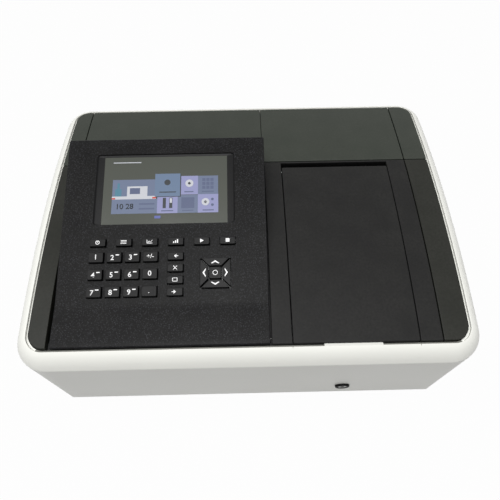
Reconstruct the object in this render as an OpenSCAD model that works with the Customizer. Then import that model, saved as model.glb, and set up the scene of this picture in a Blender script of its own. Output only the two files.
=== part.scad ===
// Bench spectrophotometer with a moulded casing, a raised console and a hinged sample lid.
// Units are millimetres. The bench is z = 0, the front is -Y and the origin is the middle of the base.

/* [Casing] */
// Width of the casing at its crease
body_w = 470; // [455:1:580]
// Depth of the casing at its crease
body_d = 358; // [345:1:440]
// Height of the deck's highest line above the bench
crown_top = 181.5; // [165:0.5:225]
// Radius of the deck's crown from front to back
crown_r = 1090; // [1000:10:2000]
// Distance of the highest line in front of the middle
crown_offset = 54; // [30:1:60]
// Height of the feet
foot_h = 7; // [5:0.5:10]
// Thickness of the casing's walls
wall = 3; // [2.5:0.1:3.5]
// Width of the rounded shoulder between the crease and the deck
shoulder_w = 17.5; // [16:0.5:22]
// Height of the shoulder above the crease
shoulder_drop = 18.2; // [16:0.2:24]
// Corner radius of the crease
crease_r = 33; // [30:0.5:50]
// Corner radius of the base
base_r = 4; // [4:0.5:30]
// How far each side wall leans in from the crease to the base
side_draft = 7.4; // [4:0.2:10]
// How far the front and rear walls lean in
front_draft = 5; // [3:0.2:8]

/* [Deck] */
// Thickness of the deck's plates
plate_t = 3; // [2.5:0.1:4]
// Depth of the deck's skirts, which stand on the casing's ledge
skirt_h = 8; // [7:0.5:9]
// Width of the seam across the deck
seam_gap = 1.2; // [0.6:0.1:2]
// Distance of that seam from the deck's front edge
front_deck_d = 223.7; // [216:0.1:240]
// Width of the left trim
left_trim_w = 18.7; // [12:0.1:24]
// Width of the right trim
right_trim_w = 26.6; // [15:0.1:30]

/* [Console] */
// Width of the console
console_w = 216.2; // [212:0.1:222]
// Slope of the console's top in degrees
console_tilt = 11.9; // [8:0.1:14]
// Distance of the console's fold from the deck's front edge
fold_d = 41.9; // [36:0.1:44]
// Thickness of the console's shell
console_t = 2.4; // [2:0.1:2.6]
// Width of the display glass
glass_w = 134.6; // [110:0.2:136]
// Length of the display glass up the slope
glass_l = 79; // [60:0.5:80]

/* [Keys] */
// Width of a number key
num_w = 15; // [11:0.5:16]
// Length of a number key
num_l = 10.8; // [8:0.2:13]
// Pitch of the number keys across
num_pitch_x = 18.7; // [18:0.1:20]
// Pitch of the number keys up the slope
num_pitch_y = 18.2; // [16:0.1:19]
// Width of a command key
cmd_w = 16; // [12:0.5:19]
// Length of a command key
cmd_l = 8; // [6:0.2:9.4]
// Width over the arrow keys
nav_w = 31; // [28:0.5:34]
// Width of the middle key
ok_w = 12.3; // [10:0.1:14]
// Height of a key above the console
key_h = 4; // [2:0.1:4.5]
// Travel of a key
key_travel = 1.2; // [0.8:0.1:1.3]
// Gap around a key in its opening
key_gap = 0.55; // [0.3:0.05:0.6]

/* [Sample bay] */
// Width of the sample lid
lid_w = 124.3; // [120:0.1:128]
// Radius of the hinge pins
pin_r = 2; // [1.5:0.1:2.4]
// Width of a cuvette
cuvette_w = 12.5; // [12.4:0.1:15]
// Pitch of the cuvettes along the carriage
cuvette_pitch = 22; // [19:0.5:22]
// Height of the light beam above the bench
beam_z = 75; // [70:1:85]
// Radius of the pull rod
rod_r = 4; // [3:0.1:4.8]
// Height of the pull rod above the bench
rod_z = 50; // [48:0.5:54]

/* [Rear] */
// Width of the cooling fan
fan_w = 60; // [40:5:60]
// Width of the mains inlet's plate
inlet_w = 70; // [68:1:74]

/* [Hidden] */
$fn = 48;
eps = 0.01;
run_gap = 0.05;
slip = 0.2;

// casing and base
pan_t = 2.5;
pan_top = foot_h + pan_t;
ledge_w = 8;
ledge_t = 3;
rim_in = 0.5;
ledge_in = shoulder_w - rim_in + ledge_w;
deck_x = body_w / 2 - shoulder_w;
deck_y = body_d / 2 - shoulder_w;
deck_r = crease_r - shoulder_w;
base_x = body_w / 2 - side_draft;
base_y = body_d / 2 - front_draft;
corner_steps = 6;
shoulder_steps = 5;
boss_r = 5;
boss_h = 22;
boss_in = 14;
screw_r = 1.5;
foot_r = 11;
foot_in = 40;
scoop_x0 = 30.5;
scoop_x1 = 88;
slot_w = 3;
slot_pitch = 8;

// deck
skirt_t = 1.8;
seam_y = -deck_y + front_deck_d;
front_y1 = seam_y - seam_gap / 2;
rear_y0 = seam_y + seam_gap / 2;
trim_gap = 3.4;
console_x0 = -deck_x + left_trim_w + trim_gap;
console_x1 = console_x0 + console_w;
bay_x0 = console_x1 + 1.6;
bay_x1 = deck_x - right_trim_w - 1.1;
rear_split = 0.8;

// console
fold_y = -deck_y + fold_d;
fold_z = crown(fold_y);
console_lean = 2.4;
console_back = front_y1 + console_lean;
glass_t = 2;
glass_s0 = 86.8;
glass_x0 = console_x0 + 40.4;
glass_x1 = glass_x0 + glass_w;
bevel_side = 7.6;
bevel_back = 2.4;
lcd_t = 8;
lcd_in = 4;

// keys
flange_t = 1.4;
flange_w = 0.8;
flange_rest = 0.3;
dome_h = 0.8;
dome_gap = 0.2;
board_t = 1.6;
num_x = console_x0 + 39.4;
num_s = 49.8;
fun_x = console_x0 + 40.3;
fun_s = 65.6;
fun_pitch = 26.96;
fun_count = 6;
col_x = console_x0 + 121.3;
col_s = 49.7;
col_pitch = 12.5;
col_count = 4;
nav_x = console_x0 + 162.2;
nav_s = 31.2;
nav_gap = 1.2;
key_under = console_t + flange_rest + flange_t;
board_top = key_under + key_travel + dome_gap + dome_h;

NUM_NAMES = [["key_7", "key_8", "key_9", "key_point"], ["key_4", "key_5", "key_6", "key_0"],
             ["key_1", "key_2", "key_3", "key_sign"]];
NUM_KEYS = [for (r = [0:2]) for (c = [0:3])
    [NUM_NAMES[r][c], num_x + c * num_pitch_x, num_s + (r - 2) * num_pitch_y, num_w, num_l]];
FUN_KEYS = [for (i = [1:fun_count])
    [str("key_f", i), fun_x + (i - 1) * fun_pitch, fun_s, cmd_w, cmd_l]];
COL_KEYS = [for (i = [1:col_count])
    [str("key_c", i), col_x, col_s - (i - 1) * col_pitch, cmd_w, cmd_l]];
BOX_KEYS = concat(NUM_KEYS, FUN_KEYS, COL_KEYS, [["key_ok", nav_x, nav_s, ok_w, ok_w]]);
ARROW_KEYS = [["key_up", 0], ["key_left", 90], ["key_down", 180], ["key_right", 270]];

// sample bay
lid_gap = 0.85;
arm_w = 20.6 - lid_gap;
lid_x0 = bay_x0 + arm_w + lid_gap;
lid_x1 = lid_x0 + lid_w;
open_y1 = front_y1 - 2.6;
lid_y1 = open_y1 - 6.5;
lid_skirt_h = 6;
hinge_y = lid_y1 - 2.5;
hinge_z = crown(hinge_y) - 7.5;
knuckle_r = 5.5;
knuckle_w = 8;
ear_w = 8;
liner_t = 2;
liner_x0 = lid_x0 + 1;
liner_x1 = lid_x1 - 1.3;
liner_y0 = -(body_d / 2 - ledge_in) + 2;
liner_y1 = hinge_y - 7;
liner_floor = 38;
liner_top = crown(liner_y0) - 9.1;
rim_x_in = 3;
rim_h = 9;
bay_x = (liner_x0 + liner_x1) / 2 + 5;
cuvette_count = 4;
pocket_w = cuvette_w + 0.1;
pocket_d = 36;
pocket_wall = 6.7;
carriage_travel = (cuvette_count - 1) * cuvette_pitch;
beam_y = liner_y1 - 85;
carriage_w = 30;
carriage_y0 = beam_y - pocket_w / 2 - pocket_wall;
carriage_l = carriage_travel + pocket_w + 2 * pocket_wall;
carriage_z0 = liner_floor + 1.2;
carriage_top = beam_z + 17;
rail_w = 6;
rail_h = 5;
rail_x = 22;
flange_out = 3;
bush_r = rod_r + 3.2;
flange_r = bush_r + 1.3;
knob_r = rod_r + 1.3;
knob_l = 4;
knob_room = 0.4;
rod_seat = -wall_out(rod_z - flange_r, front_crease_z());

// optics
optics_x1 = liner_x0 - liner_t - 1;
optics_w = 132;
optics_l = 212;
optics_x0 = optics_x1 - optics_w;
optics_y0 = beam_y - 20;
optics_y1 = optics_y0 + optics_l;
optics_z0 = 24;
optics_t = 6;
optics_top = optics_z0 + optics_t;
grating_x = optics_x0 + 42;
grating_y = beam_y + 86;
spindle_r = 4;
table_r = 26;
wheel_x = optics_x1 - 24;
wheel_r = 30;
wheel_orbit = 21;
wheel_t = 3;
filter_r = 5;
filter_count = 8;
lamp_x0 = optics_x1 - 74;
lamp_w = 70;
lamp_y0 = optics_y1 - 62;
lamp_l = 60;
lamp_h = 86;
mirror_r = 13;
mirror_t = 5;

// rear panel and electronics
fan_t = 15;
fan_x = lamp_x0 + lamp_w / 2;
fan_z = foot_h + 68;
fan_bore_r = fan_w / 2 - 1.5;
fan_y1 = rear_in(fan_z - fan_w / 2) - 0.3;
fan_y0 = fan_y1 - fan_t;
fan_hub_r = 11;
fan_pin_r = 2.5;
blade_count = 7;
inlet_h = 30;
inlet_t = 2;
inlet_x = -base_x + 75;
inlet_z = foot_h + 43;
inlet_seat = wall_out(inlet_z - inlet_h / 2, rear_crease_z());
mouth_w = 24;
mouth_h = 17;
mouth_x = -12.5;
rocker_x = 13.5;
rocker_w = 13;
rocker_h = 20;
rocker_tilt = 8;
rocker_y = inlet_seat + inlet_t - 4.5;
board_x0 = -base_x + 22;
board_w = 112;
board_y0 = -deck_y + 16.5;
board_l = 175;
board_z = pan_top + 5;
supply_x0 = board_x0;
supply_w = 80;
supply_l = 108;
supply_y0 = board_y0 + board_l + 8;
strip_x = board_x0 + 84;
strip_w = 28;
port_y = rear_in(board_z) - 2;
usb_w = 12;
usb_h = 11;
net_w = 16;
net_h = 13.5;
port_l = 16;
detector_x0 = liner_x1 + liner_t + 4;
detector_w = 36;
detector_l = 40;

// Height of the crown at a distance y from the middle, or of a surface that lies drop under it
function crown(y, drop = 0) =
    crown_top - crown_r + sqrt((crown_r - drop) * (crown_r - drop) - (y + crown_offset) * (y + crown_offset));

function front_crease_z() = crown(-body_d / 2, shoulder_drop);
function rear_crease_z() = crown(body_d / 2, shoulder_drop);

// Distance of the front or rear wall's outside from the middle at height z
function wall_out(z, crease_z) =
    body_d / 2 - front_draft * (crease_z - z) / (crease_z - foot_h);

// Inside of the rear wall at height z
function rear_in(z) = wall_out(z, rear_crease_z()) - wall;

// Points between a and b, without the ends
function between(a, b, n) = [for (k = [1:n - 1]) a + (b - a) * k / n];

// Rounded rectangle, counter-clockwise, with extra points along its sides
function ring_corner(cx, cy, r, a) =
    [for (k = [0:corner_steps])
        [cx + r * cos(a + 90 * k / corner_steps), cy + r * sin(a + 90 * k / corner_steps)]];
function ring(hx, hy, r) =
    concat(
        ring_corner(hx - r, hy - r, r, 0),
        between([hx - r, hy], [r - hx, hy], 2),
        ring_corner(r - hx, hy - r, r, 90),
        between([-hx, hy - r], [-hx, r - hy], 6),
        ring_corner(r - hx, r - hy, r, 180),
        between([r - hx, -hy], [hx - r, -hy], 2),
        ring_corner(hx - r, r - hy, r, 270),
        between([hx, r - hy], [hx, hy - r], 6));

// Ring set in from the crease and lowered from the crown
function crown_ring(inset, drop) =
    [for (p = ring(body_w / 2 - inset, body_d / 2 - inset, crease_r - inset))
        [p[0], p[1], crown(p[1], drop)]];
function base_ring(inset) =
    [for (p = ring(base_x - inset, base_y - inset, base_r - inset)) [p[0], p[1], foot_h]];

// Shoulder from the crease to its crest: a quadratic curve through one handle
crest_in = shoulder_w - 3.5;
crest_drop = 1.1;
groove_drop = 4.6;
function shoulder(t) = let (a = (1 - t) * (1 - t), b = 2 * t * (1 - t), c = t * t)
    [b * 5.5 + c * crest_in, a * shoulder_drop + b * 4.6 + c * crest_drop];

// Slab cut to a rounded outline
module rounded(w, l, r) {
    square([w - 2 * r, l], center = true);
    square([w, l - 2 * r], center = true);
    for (x = [-1, 1], y = [-1, 1])
        translate([x * (w / 2 - r), y * (l / 2 - r)])
            circle(r = r);
}

module block(x0, x1, y0, y1, z0, z1) {
    translate([x0, y0, z0])
        cube([x1 - x0, y1 - y0, z1 - z0]);
}

module along_x(x0, x1, y, z, r) {
    translate([x0, y, z])
        rotate([0, 90, 0])
            cylinder(r = r, h = x1 - x0);
}

module along_y(y0, y1, x, z, r) {
    translate([x, y1, z])
        rotate([90, 0, 0])
            cylinder(r = r, h = y1 - y0);
}

// Everything under the crown, lowered by drop
module under_crown(drop) {
    translate([0, -crown_offset, crown_top - crown_r])
        rotate([0, 90, 0])
            cylinder(r = crown_r - drop, h = 3 * body_w, center = true, $fn = 256);
}

module deck_prism(inset) {
    translate([0, 0, crown_top - 60])
        linear_extrude(80)
            rounded(2 * (deck_x - inset), 2 * (deck_y - inset), deck_r - inset);
}

// Crowned plate with skirts between two lines across and two lines along the deck
module deck_plate(x0, x1, y0, y1) {
    intersection() {
        difference() {
            intersection() {
                deck_prism(0);
                block(x0, x1, y0, y1, crown_top - 60, crown_top + 10);
            }
            intersection() {
                deck_prism(skirt_t);
                block(x0 + skirt_t, x1 - skirt_t, y0 + skirt_t, y1 - skirt_t,
                      crown_top - 60, crown_top + 10);
                under_crown(plate_t);
            }
            under_crown(skirt_h);
        }
        under_crown(0);
    }
}

// Places children on the console's slope: x across, y up the slope, z out of it
module on_slope() {
    translate([0, fold_y, fold_z])
        rotate([console_tilt, 0, 0])
            children();
}

// Profile across the deck, extruded from x0 to x1
module profile(x0, x1, points) {
    translate([x0, 0, 0])
        rotate([90, 0, 90])
            linear_extrude(x1 - x0)
                polygon(points);
}

function slope_z(y) = fold_z + (y - fold_y) * tan(console_tilt);

screw_spots = [for (x = [-1, 1], y = [-1, 0, 1]) [x * (base_x - boss_in), y * (base_y - 30)]];
foot_spots = [for (x = [-1, 1], y = [-1, 1]) [x * (base_x - foot_in), y * (base_y - foot_in)]];
fan_spots = [for (x = [-1, 1], z = [-1, 1]) [x * (fan_w / 2 - 5), z * (fan_w / 2 - 5)]];
inlet_spots = [-inlet_w / 2 + 4, inlet_w / 2 - 4];

module base_pan() {
    pan_x = base_x - wall - 0.4;
    pan_y = base_y - wall - 0.4;
    color("dimgray")
        difference() {
            union() {
                translate([0, 0, foot_h])
                    linear_extrude(pan_t)
                        rounded(2 * pan_x, 2 * pan_y, base_r - wall);
                // posts under the two boards
                for (x = [board_x0 + 6, board_x0 + board_w - 6], y = [board_y0 + 6, board_y0 + board_l - 6])
                    translate([x, y, foot_h])
                        cylinder(r = 3, h = board_z - foot_h);
                for (x = [supply_x0 + 6, supply_x0 + supply_w - 6], y = [supply_y0 + 6, supply_y0 + supply_l - 6])
                    translate([x, y, foot_h])
                        cylinder(r = 3, h = board_z - foot_h);
                translate([strip_x + strip_w / 2, port_y - port_l - 10, foot_h])
                    cylinder(r = 3, h = board_z - foot_h);
            }
            for (p = screw_spots) {
                translate([p[0], p[1], foot_h - eps])
                    cylinder(r = screw_r + slip, h = pan_t + 1);
                translate([p[0], p[1], foot_h - eps])
                    cylinder(r = 2 * screw_r + slip, h = 1.4);
            }
            for (p = foot_spots)
                translate([p[0], p[1], foot_h - eps])
                    cylinder(r = 3 + run_gap, h = pan_t + 1);
            // cooling slots
            for (i = [0:7])
                block(fan_x - 30 + i * slot_pitch, fan_x - 30 + i * slot_pitch + slot_w,
                      optics_y0 - 58, optics_y0 - 18, foot_h - 1, pan_top + 1);
        }
}

module casing_shell() {
    rings = concat(
        [base_ring(0)],
        [for (k = [0:shoulder_steps]) let (s = shoulder(k / shoulder_steps)) crown_ring(s[0], s[1])],
        [crown_ring(crest_in + 0.7, groove_drop),
         crown_ring(shoulder_w - 0.7, groove_drop),
         crown_ring(shoulder_w - rim_in, skirt_h),
         crown_ring(ledge_in, skirt_h),
         crown_ring(ledge_in, skirt_h + ledge_t),
         crown_ring(shoulder_w - 5.5, skirt_h + ledge_t),
         crown_ring(wall, shoulder_drop + 3),
         base_ring(wall)]);
    n = len(rings[0]);
    m = len(rings);
    polyhedron(
        points = [for (r = rings) for (p = r) p],
        faces = [for (i = [0:m - 1], j = [0:n - 1], t = [0, 1])
            let (a = i * n + j, b = i * n + (j + 1) % n,
                 c = ((i + 1) % m) * n + j, d = ((i + 1) % m) * n + (j + 1) % n)
            t == 0 ? [a, c, b] : [b, c, d]],
        convexity = 8);
}

module casing() {
    color("whitesmoke")
        difference() {
            union() {
                casing_shell();
                for (p = screw_spots) {
                    translate([p[0], p[1], pan_top])
                        cylinder(r = boss_r, h = boss_h);
                    side = sign(p[0]);
                    translate([side > 0 ? p[0] : -base_x + 0.8, p[1] - 1.5, pan_top])
                        cube([base_x - 0.8 - abs(p[0]), 3, boss_h]);
                }
            }
            for (p = screw_spots)
                translate([p[0], p[1], pan_top - 1])
                    cylinder(r = screw_r + run_gap, h = boss_h - 3);
            // finger scoop under the lid's front edge
            translate([lid_x0, -deck_y + rim_in, crown(-deck_y) - groove_drop])
                rotate([90, 0, 0])
                    linear_extrude(shoulder_w - 1)
                        polygon([[scoop_x0, 0], [scoop_x1, 0], [scoop_x1 + 5, 9], [scoop_x0 - 5, 9]]);
            // notches that carry the gaps beside the lid through the rim
            for (x = [lid_x0 - lid_gap, lid_x1])
                block(x, x + lid_gap, -deck_y - 4.6, -deck_y + 1, crown(-deck_y) - 3.6, crown_top);
            // pull rod bush and its flat seat
            along_y(-body_d / 2 - 1, -body_d / 2 + 30, bay_x, rod_z, bush_r + run_gap);
            along_y(-body_d / 2 - 1, rod_seat, bay_x, rod_z, flange_r + slip);
            // fan grille
            difference() {
                along_y(rear_in(fan_z) - 5, body_d / 2 + 1, fan_x, fan_z, fan_bore_r - 1);
                along_y(rear_in(fan_z) - 6, body_d / 2 + 2, fan_x, fan_z, fan_hub_r - 1);
                for (i = [-2:2])
                    block(fan_x - fan_w / 2, fan_x + fan_w / 2, rear_in(fan_z) - 6, body_d / 2 + 2,
                          fan_z + i * fan_w / 6 - 1.2, fan_z + i * fan_w / 6 + 1.2);
            }
            for (p = fan_spots)
                along_y(rear_in(fan_z) - 5, body_d / 2 + 1, fan_x + p[0], fan_z + p[1], screw_r + slip);
            // mains inlet, its seat and its screws
            block(inlet_x - inlet_w / 2 + 8, inlet_x + inlet_w / 2 - 8, rear_in(inlet_z) - 5, body_d / 2 + 1,
                  inlet_z - inlet_h / 2 + 3, inlet_z + inlet_h / 2 - 3);
            block(inlet_x - inlet_w / 2 - slip, inlet_x + inlet_w / 2 + slip, inlet_seat, body_d / 2 + 1,
                  inlet_z - inlet_h / 2 - slip, inlet_z + inlet_h / 2 + slip);
            for (x = inlet_spots)
                along_y(rear_in(inlet_z) - 5, body_d / 2 + 1, inlet_x + x, inlet_z, screw_r + run_gap);
            // data sockets
            block(usb_x0() - slip, usb_x0() + usb_w + slip, port_y - 4, body_d / 2 + 1,
                  board_z + board_t - slip, board_z + board_t + usb_h + slip);
            block(net_x0() - slip, net_x0() + net_w + slip, port_y - 4, body_d / 2 + 1,
                  board_z + board_t - slip, board_z + board_t + net_h + slip);
            // cooling slots in both sides
            for (i = [0:6])
                block(-body_w / 2 - 1, body_w / 2 + 1, supply_y0 + 22 + i * slot_pitch,
                      supply_y0 + 22 + i * slot_pitch + slot_w, foot_h + 34, foot_h + 64);
        }
}

function usb_x0() = strip_x + 0.5;
function net_x0() = strip_x + strip_w - 1 - net_w + 1;

module rear_covers() {
    split_x = console_x1;
    color("dimgray") {
        deck_plate(-deck_x + left_trim_w + 1, split_x - rear_split / 2, rear_y0, deck_y);
        deck_plate(split_x + rear_split / 2, bay_x1, rear_y0, deck_y);
    }
}

module side_trims() {
    color("dimgray")
        for (s = [[-deck_x, -deck_x + left_trim_w], [deck_x - right_trim_w, deck_x]]) {
            deck_plate(s[0], s[1], -deck_y, front_y1);
            deck_plate(s[0], s[1], rear_y0, deck_y);
        }
}

module bay_frame() {
    color("darkslategray")
        difference() {
            union() {
                difference() {
                    deck_plate(bay_x0, bay_x1, -deck_y, front_y1);
                    block(lid_x0 - lid_gap, lid_x1 + lid_gap, -deck_y - 1, open_y1,
                          crown_top - 60, crown_top + 10);
                }
                // skirts along the opening
                intersection() {
                    difference() {
                        under_crown(plate_t - 1);
                        under_crown(skirt_h);
                    }
                    for (x = [lid_x0 - lid_gap - skirt_t, lid_x1 + lid_gap])
                        block(x, x + skirt_t, -deck_y, front_y1, crown_top - 60, crown_top);
                }
                // ears for the hinge pins
                for (x = [lid_x0 - lid_gap - ear_w, lid_x1 + lid_gap])
                    block(x, x + ear_w, hinge_y - knuckle_r, hinge_y + knuckle_r,
                          hinge_z - knuckle_r, crown(hinge_y) - plate_t + 0.5);
            }
            along_x(bay_x0 - 1, bay_x1 + 1, hinge_y, hinge_z, pin_r + 0.02);
        }
}

// Opening for a key through the console's shell
module key_hole(w, l) {
    cube([w + 2 * key_gap, l + 2 * key_gap, 4 * console_t], center = true);
}

module console_body() {
    z0 = crown(-deck_y) - 2 * skirt_h;
    z1 = crown(front_y1) - 2 * skirt_h;
    t = console_t;
    t_slope = console_t / cos(console_tilt);
    difference() {
        profile(console_x0, console_x1, [
            [-deck_y, z0], [-deck_y, crown(-deck_y)], [-deck_y + fold_d / 2, crown(-deck_y + fold_d / 2)],
            [fold_y, fold_z], [console_back - 1.5, slope_z(console_back - 1.5)],
            [console_back, slope_z(console_back) - 1.6], [front_y1, crown(front_y1) - skirt_h],
            [front_y1, z1]]);
        profile(console_x0 + t, console_x1 - t, [
            [-deck_y + t, z0 - 1], [-deck_y + t, crown(-deck_y + t) - t], [fold_y, fold_z - t_slope],
            [console_back - t, slope_z(console_back - t) - t_slope],
            [front_y1 - t, crown(front_y1) - skirt_h], [front_y1 - t, z1 - 1]]);
        under_crown(skirt_h);
    }
}

module console() {
    color("darkslategray")
        difference() {
            union() {
                console_body();
                // posts that carry the key board
                on_slope()
                    for (x = [num_x - 14, nav_x + nav_w / 2 + 8], s = [8, 74])
                        translate([x, s, -board_top])
                            cylinder(r = 2.5, h = board_top - console_t + 0.5);
            }
            on_slope() {
                for (k = BOX_KEYS)
                    translate([k[1], k[2], 0])
                        key_hole(k[3], k[4]);
                translate([nav_x, nav_s, 0])
                    key_hole(nav_w, nav_w);
                // display opening with bevelled sides
                translate([glass_x0, glass_s0, -2 * console_t])
                    cube([glass_w, glass_l, 4 * console_t]);
                translate([0, glass_s0 + glass_l + bevel_back, 0])
                    rotate([90, 0, 0])
                        linear_extrude(glass_l + bevel_back)
                            polygon([[glass_x0 - bevel_side, 1], [glass_x0 - bevel_side, 0],
                                     [glass_x0, 0.4 - console_t], [glass_x1, 0.4 - console_t],
                                     [glass_x1 + bevel_side, 0], [glass_x1 + bevel_side, 1]]);
            }
        }
}

module display_glass() {
    color("darkslategray")
        on_slope()
            translate([glass_x0 - 3, glass_s0 - 3, -console_t - glass_t])
                cube([glass_w + 6, glass_l + 6, glass_t]);
}

module lcd_module() {
    z = console_t + glass_t;
    color("silver")
        on_slope()
            difference() {
                translate([glass_x0 + lcd_in, glass_s0 + lcd_in, -z - lcd_t])
                    cube([glass_w - 2 * lcd_in, glass_l - 2 * lcd_in, lcd_t]);
                translate([glass_x0 + 2 * lcd_in, glass_s0 + 2 * lcd_in, -z - lcd_t - 1])
                    cube([glass_w - 4 * lcd_in, glass_l - 4 * lcd_in, lcd_t / 2]);
            }
}

module keypad_board() {
    x0 = num_x - 19;
    x1 = nav_x + nav_w / 2 + 13;
    s0 = 4;
    s1 = 79;
    color("darkgreen")
        on_slope() {
            translate([x0, s0, -board_top - board_t])
                cube([x1 - x0, s1 - s0, board_t]);
            for (k = BOX_KEYS)
                translate([k[1], k[2], -board_top - eps])
                    cylinder(r1 = 3, r2 = 2, h = dome_h);
            for (k = ARROW_KEYS)
                translate([nav_x, nav_s, -board_top - eps])
                    rotate([0, 0, k[1]])
                        translate([0, (nav_w + ok_w) / 4, 0])
                            cylinder(r1 = 3, r2 = 2, h = dome_h);
        }
}

// Key with a square flange that holds it under the console's shell
module box_key(k) {
    color("black")
        on_slope()
            translate([k[1], k[2], 0]) {
                translate([0, 0, -console_t - flange_rest - eps])
                    linear_extrude(key_h + console_t + flange_rest + eps)
                        rounded(k[3], k[4], 1);
                w = k[0] == "key_ok" ? 0 : flange_w + key_gap;
                translate([0, 0, -key_under + flange_t / 2])
                    cube([k[3] + 2 * w, k[4] + 2 * w, flange_t], center = true);
            }
}

// One of four wedge-shaped keys around the middle key
module arrow_key(k) {
    outer = nav_w / 2;
    inner = ok_w / 2 + nav_gap;
    rim = outer + key_gap + flange_w;
    color("black")
        on_slope()
            translate([nav_x, nav_s, 0])
                rotate([0, 0, k[1]]) {
                    translate([0, 0, -key_under])
                        linear_extrude(key_h + key_under)
                            polygon([[nav_gap - outer, outer], [outer - nav_gap, outer],
                                     [inner - nav_gap, inner], [nav_gap - inner, inner]]);
                    translate([0, 0, -key_under])
                        linear_extrude(flange_t)
                            polygon([[nav_gap - outer, rim], [outer - nav_gap, rim],
                                     [outer - nav_gap, outer - 1], [nav_gap - outer, outer - 1]]);
                }
}

module sample_lid() {
    rim_z0 = rim_h + plate_t;
    color("darkslategray")
        difference() {
            union() {
                intersection() {
                    difference() {
                        block(lid_x0, lid_x1, -deck_y, lid_y1, crown_top - 60, crown_top + 10);
                        intersection() {
                            block(lid_x0 + skirt_t, lid_x1 - skirt_t, -deck_y + skirt_t, lid_y1 - skirt_t,
                                  crown_top - 60, crown_top + 10);
                            under_crown(plate_t);
                        }
                        under_crown(lid_skirt_h);
                    }
                    under_crown(0);
                }
                // light trap rim that hangs inside the liner
                intersection() {
                    difference() {
                        block(liner_x0 + liner_t + rim_x_in, liner_x1 - liner_t - rim_x_in,
                              liner_y0 + liner_t + rim_x_in, liner_y1 - liner_t - rim_x_in,
                              crown_top - 60, crown_top);
                        block(liner_x0 + liner_t + rim_x_in + skirt_t, liner_x1 - liner_t - rim_x_in - skirt_t,
                              liner_y0 + liner_t + rim_x_in + skirt_t, liner_y1 - liner_t - rim_x_in - skirt_t,
                              crown_top - 61, crown_top + 1);
                        under_crown(rim_z0);
                    }
                    under_crown(plate_t - 1);
                }
                // hinge knuckles
                along_x(lid_x0, lid_x0 + knuckle_w, hinge_y, hinge_z, knuckle_r);
                along_x(lid_x1 - knuckle_w, lid_x1, hinge_y, hinge_z, knuckle_r);
            }
            along_x(lid_x0 - 1, lid_x1 + 1, hinge_y, hinge_z, pin_r + run_gap);
        }
}

module hinge_pins() {
    color("silver") {
        along_x(lid_x0 - lid_gap - ear_w, lid_x0 + knuckle_w - 1, hinge_y, hinge_z, pin_r);
        along_x(lid_x1 - knuckle_w + 1, lid_x1 + lid_gap + ear_w, hinge_y, hinge_z, pin_r);
    }
}

module bay_liner() {
    color("black")
        difference() {
            union() {
                block(liner_x0, liner_x1, liner_y0, liner_y1, liner_floor - liner_t, liner_top);
                // legs down to the base
                for (x = [liner_x0, liner_x1 - 8], y = [liner_y0 + 10, liner_y1 - 18])
                    block(x, x + 8, y, y + 8, pan_top, liner_floor);
            }
            block(liner_x0 + liner_t, liner_x1 - liner_t, liner_y0 + liner_t, liner_y1 - liner_t,
                  liner_floor, liner_top + 1);
            // windows for the beam
            along_x(liner_x0 - 1, liner_x1 + 1, beam_y, beam_z, 6);
            // way through for the rod
            along_y(liner_y0 - 1, liner_y0 + liner_t + 1, bay_x, rod_z, rod_r + 0.6);
        }
}

module carriage_rails() {
    color("silver")
        for (s = [-1, 1])
            block(bay_x + s * rail_x - rail_w / 2, bay_x + s * rail_x + rail_w / 2,
                  liner_y0 + liner_t, liner_y1 - liner_t, liner_floor, liner_floor + rail_h);
}

module cell_carriage() {
    foot_x = rail_x + rail_w / 2 + 4;
    foot_top = liner_floor + rail_h + 4;
    color("dimgray")
        difference() {
            union() {
                block(bay_x - carriage_w / 2, bay_x + carriage_w / 2, carriage_y0, carriage_y0 + carriage_l,
                      carriage_z0, carriage_top);
                block(bay_x - foot_x, bay_x + foot_x, carriage_y0, carriage_y0 + carriage_l,
                      carriage_z0, foot_top);
            }
            // grooves over the rails
            for (s = [-1, 1])
                block(bay_x + s * rail_x - rail_w / 2 - 0.1, bay_x + s * rail_x + rail_w / 2 + 0.1,
                      carriage_y0 - 1, carriage_y0 + carriage_l + 1,
                      carriage_z0 - 1, liner_floor + rail_h + 0.1);
            // cuvette pockets and their windows
            for (i = [0:cuvette_count - 1]) {
                y = beam_y + i * cuvette_pitch;
                block(bay_x - pocket_w / 2, bay_x + pocket_w / 2, y - pocket_w / 2, y + pocket_w / 2,
                      carriage_top - pocket_d, carriage_top + 1);
                along_x(bay_x - carriage_w, bay_x + carriage_w, y, beam_z, 4);
            }
        }
}

module pull_rod() {
    front = rod_seat - flange_out + knob_room;
    color("lightgray")
        difference() {
            union() {
                along_y(front + knob_l - 1, carriage_y0, bay_x, rod_z, rod_r);
                along_y(front, front + knob_l, bay_x, rod_z, knob_r);
            }
            along_y(front - 1, front + 1.5, bay_x, rod_z, 2.2);
        }
}

module rod_bush() {
    front = rod_seat - flange_out;
    color("black")
        difference() {
            union() {
                along_y(front, rod_seat, bay_x, rod_z, flange_r);
                along_y(rod_seat - 1, rod_seat + 16, bay_x, rod_z, bush_r);
            }
            along_y(front - 1, rod_seat + 17, bay_x, rod_z, rod_r + run_gap);
            along_y(front - 1, front + knob_l + 2 * knob_room, bay_x, rod_z, knob_r + knob_room);
        }
}

module optics_base() {
    color("darkgray")
        difference() {
            union() {
                block(optics_x0, optics_x1, optics_y0, optics_y1, optics_z0, optics_top);
                for (x = [optics_x0 + 8, optics_x1 - 8], y = [optics_y0 + 8, optics_y1 - 8])
                    translate([x, y, pan_top])
                        cylinder(r = 6, h = optics_z0 - pan_top + 1);
                // stiffening wall on the left
                block(optics_x0, optics_x0 + 4, optics_y0, optics_y1, optics_z0, optics_top + 30);
            }
            translate([grating_x, grating_y, optics_z0 - 1])
                cylinder(r = spindle_r + run_gap, h = optics_t + 2);
        }
}

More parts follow.
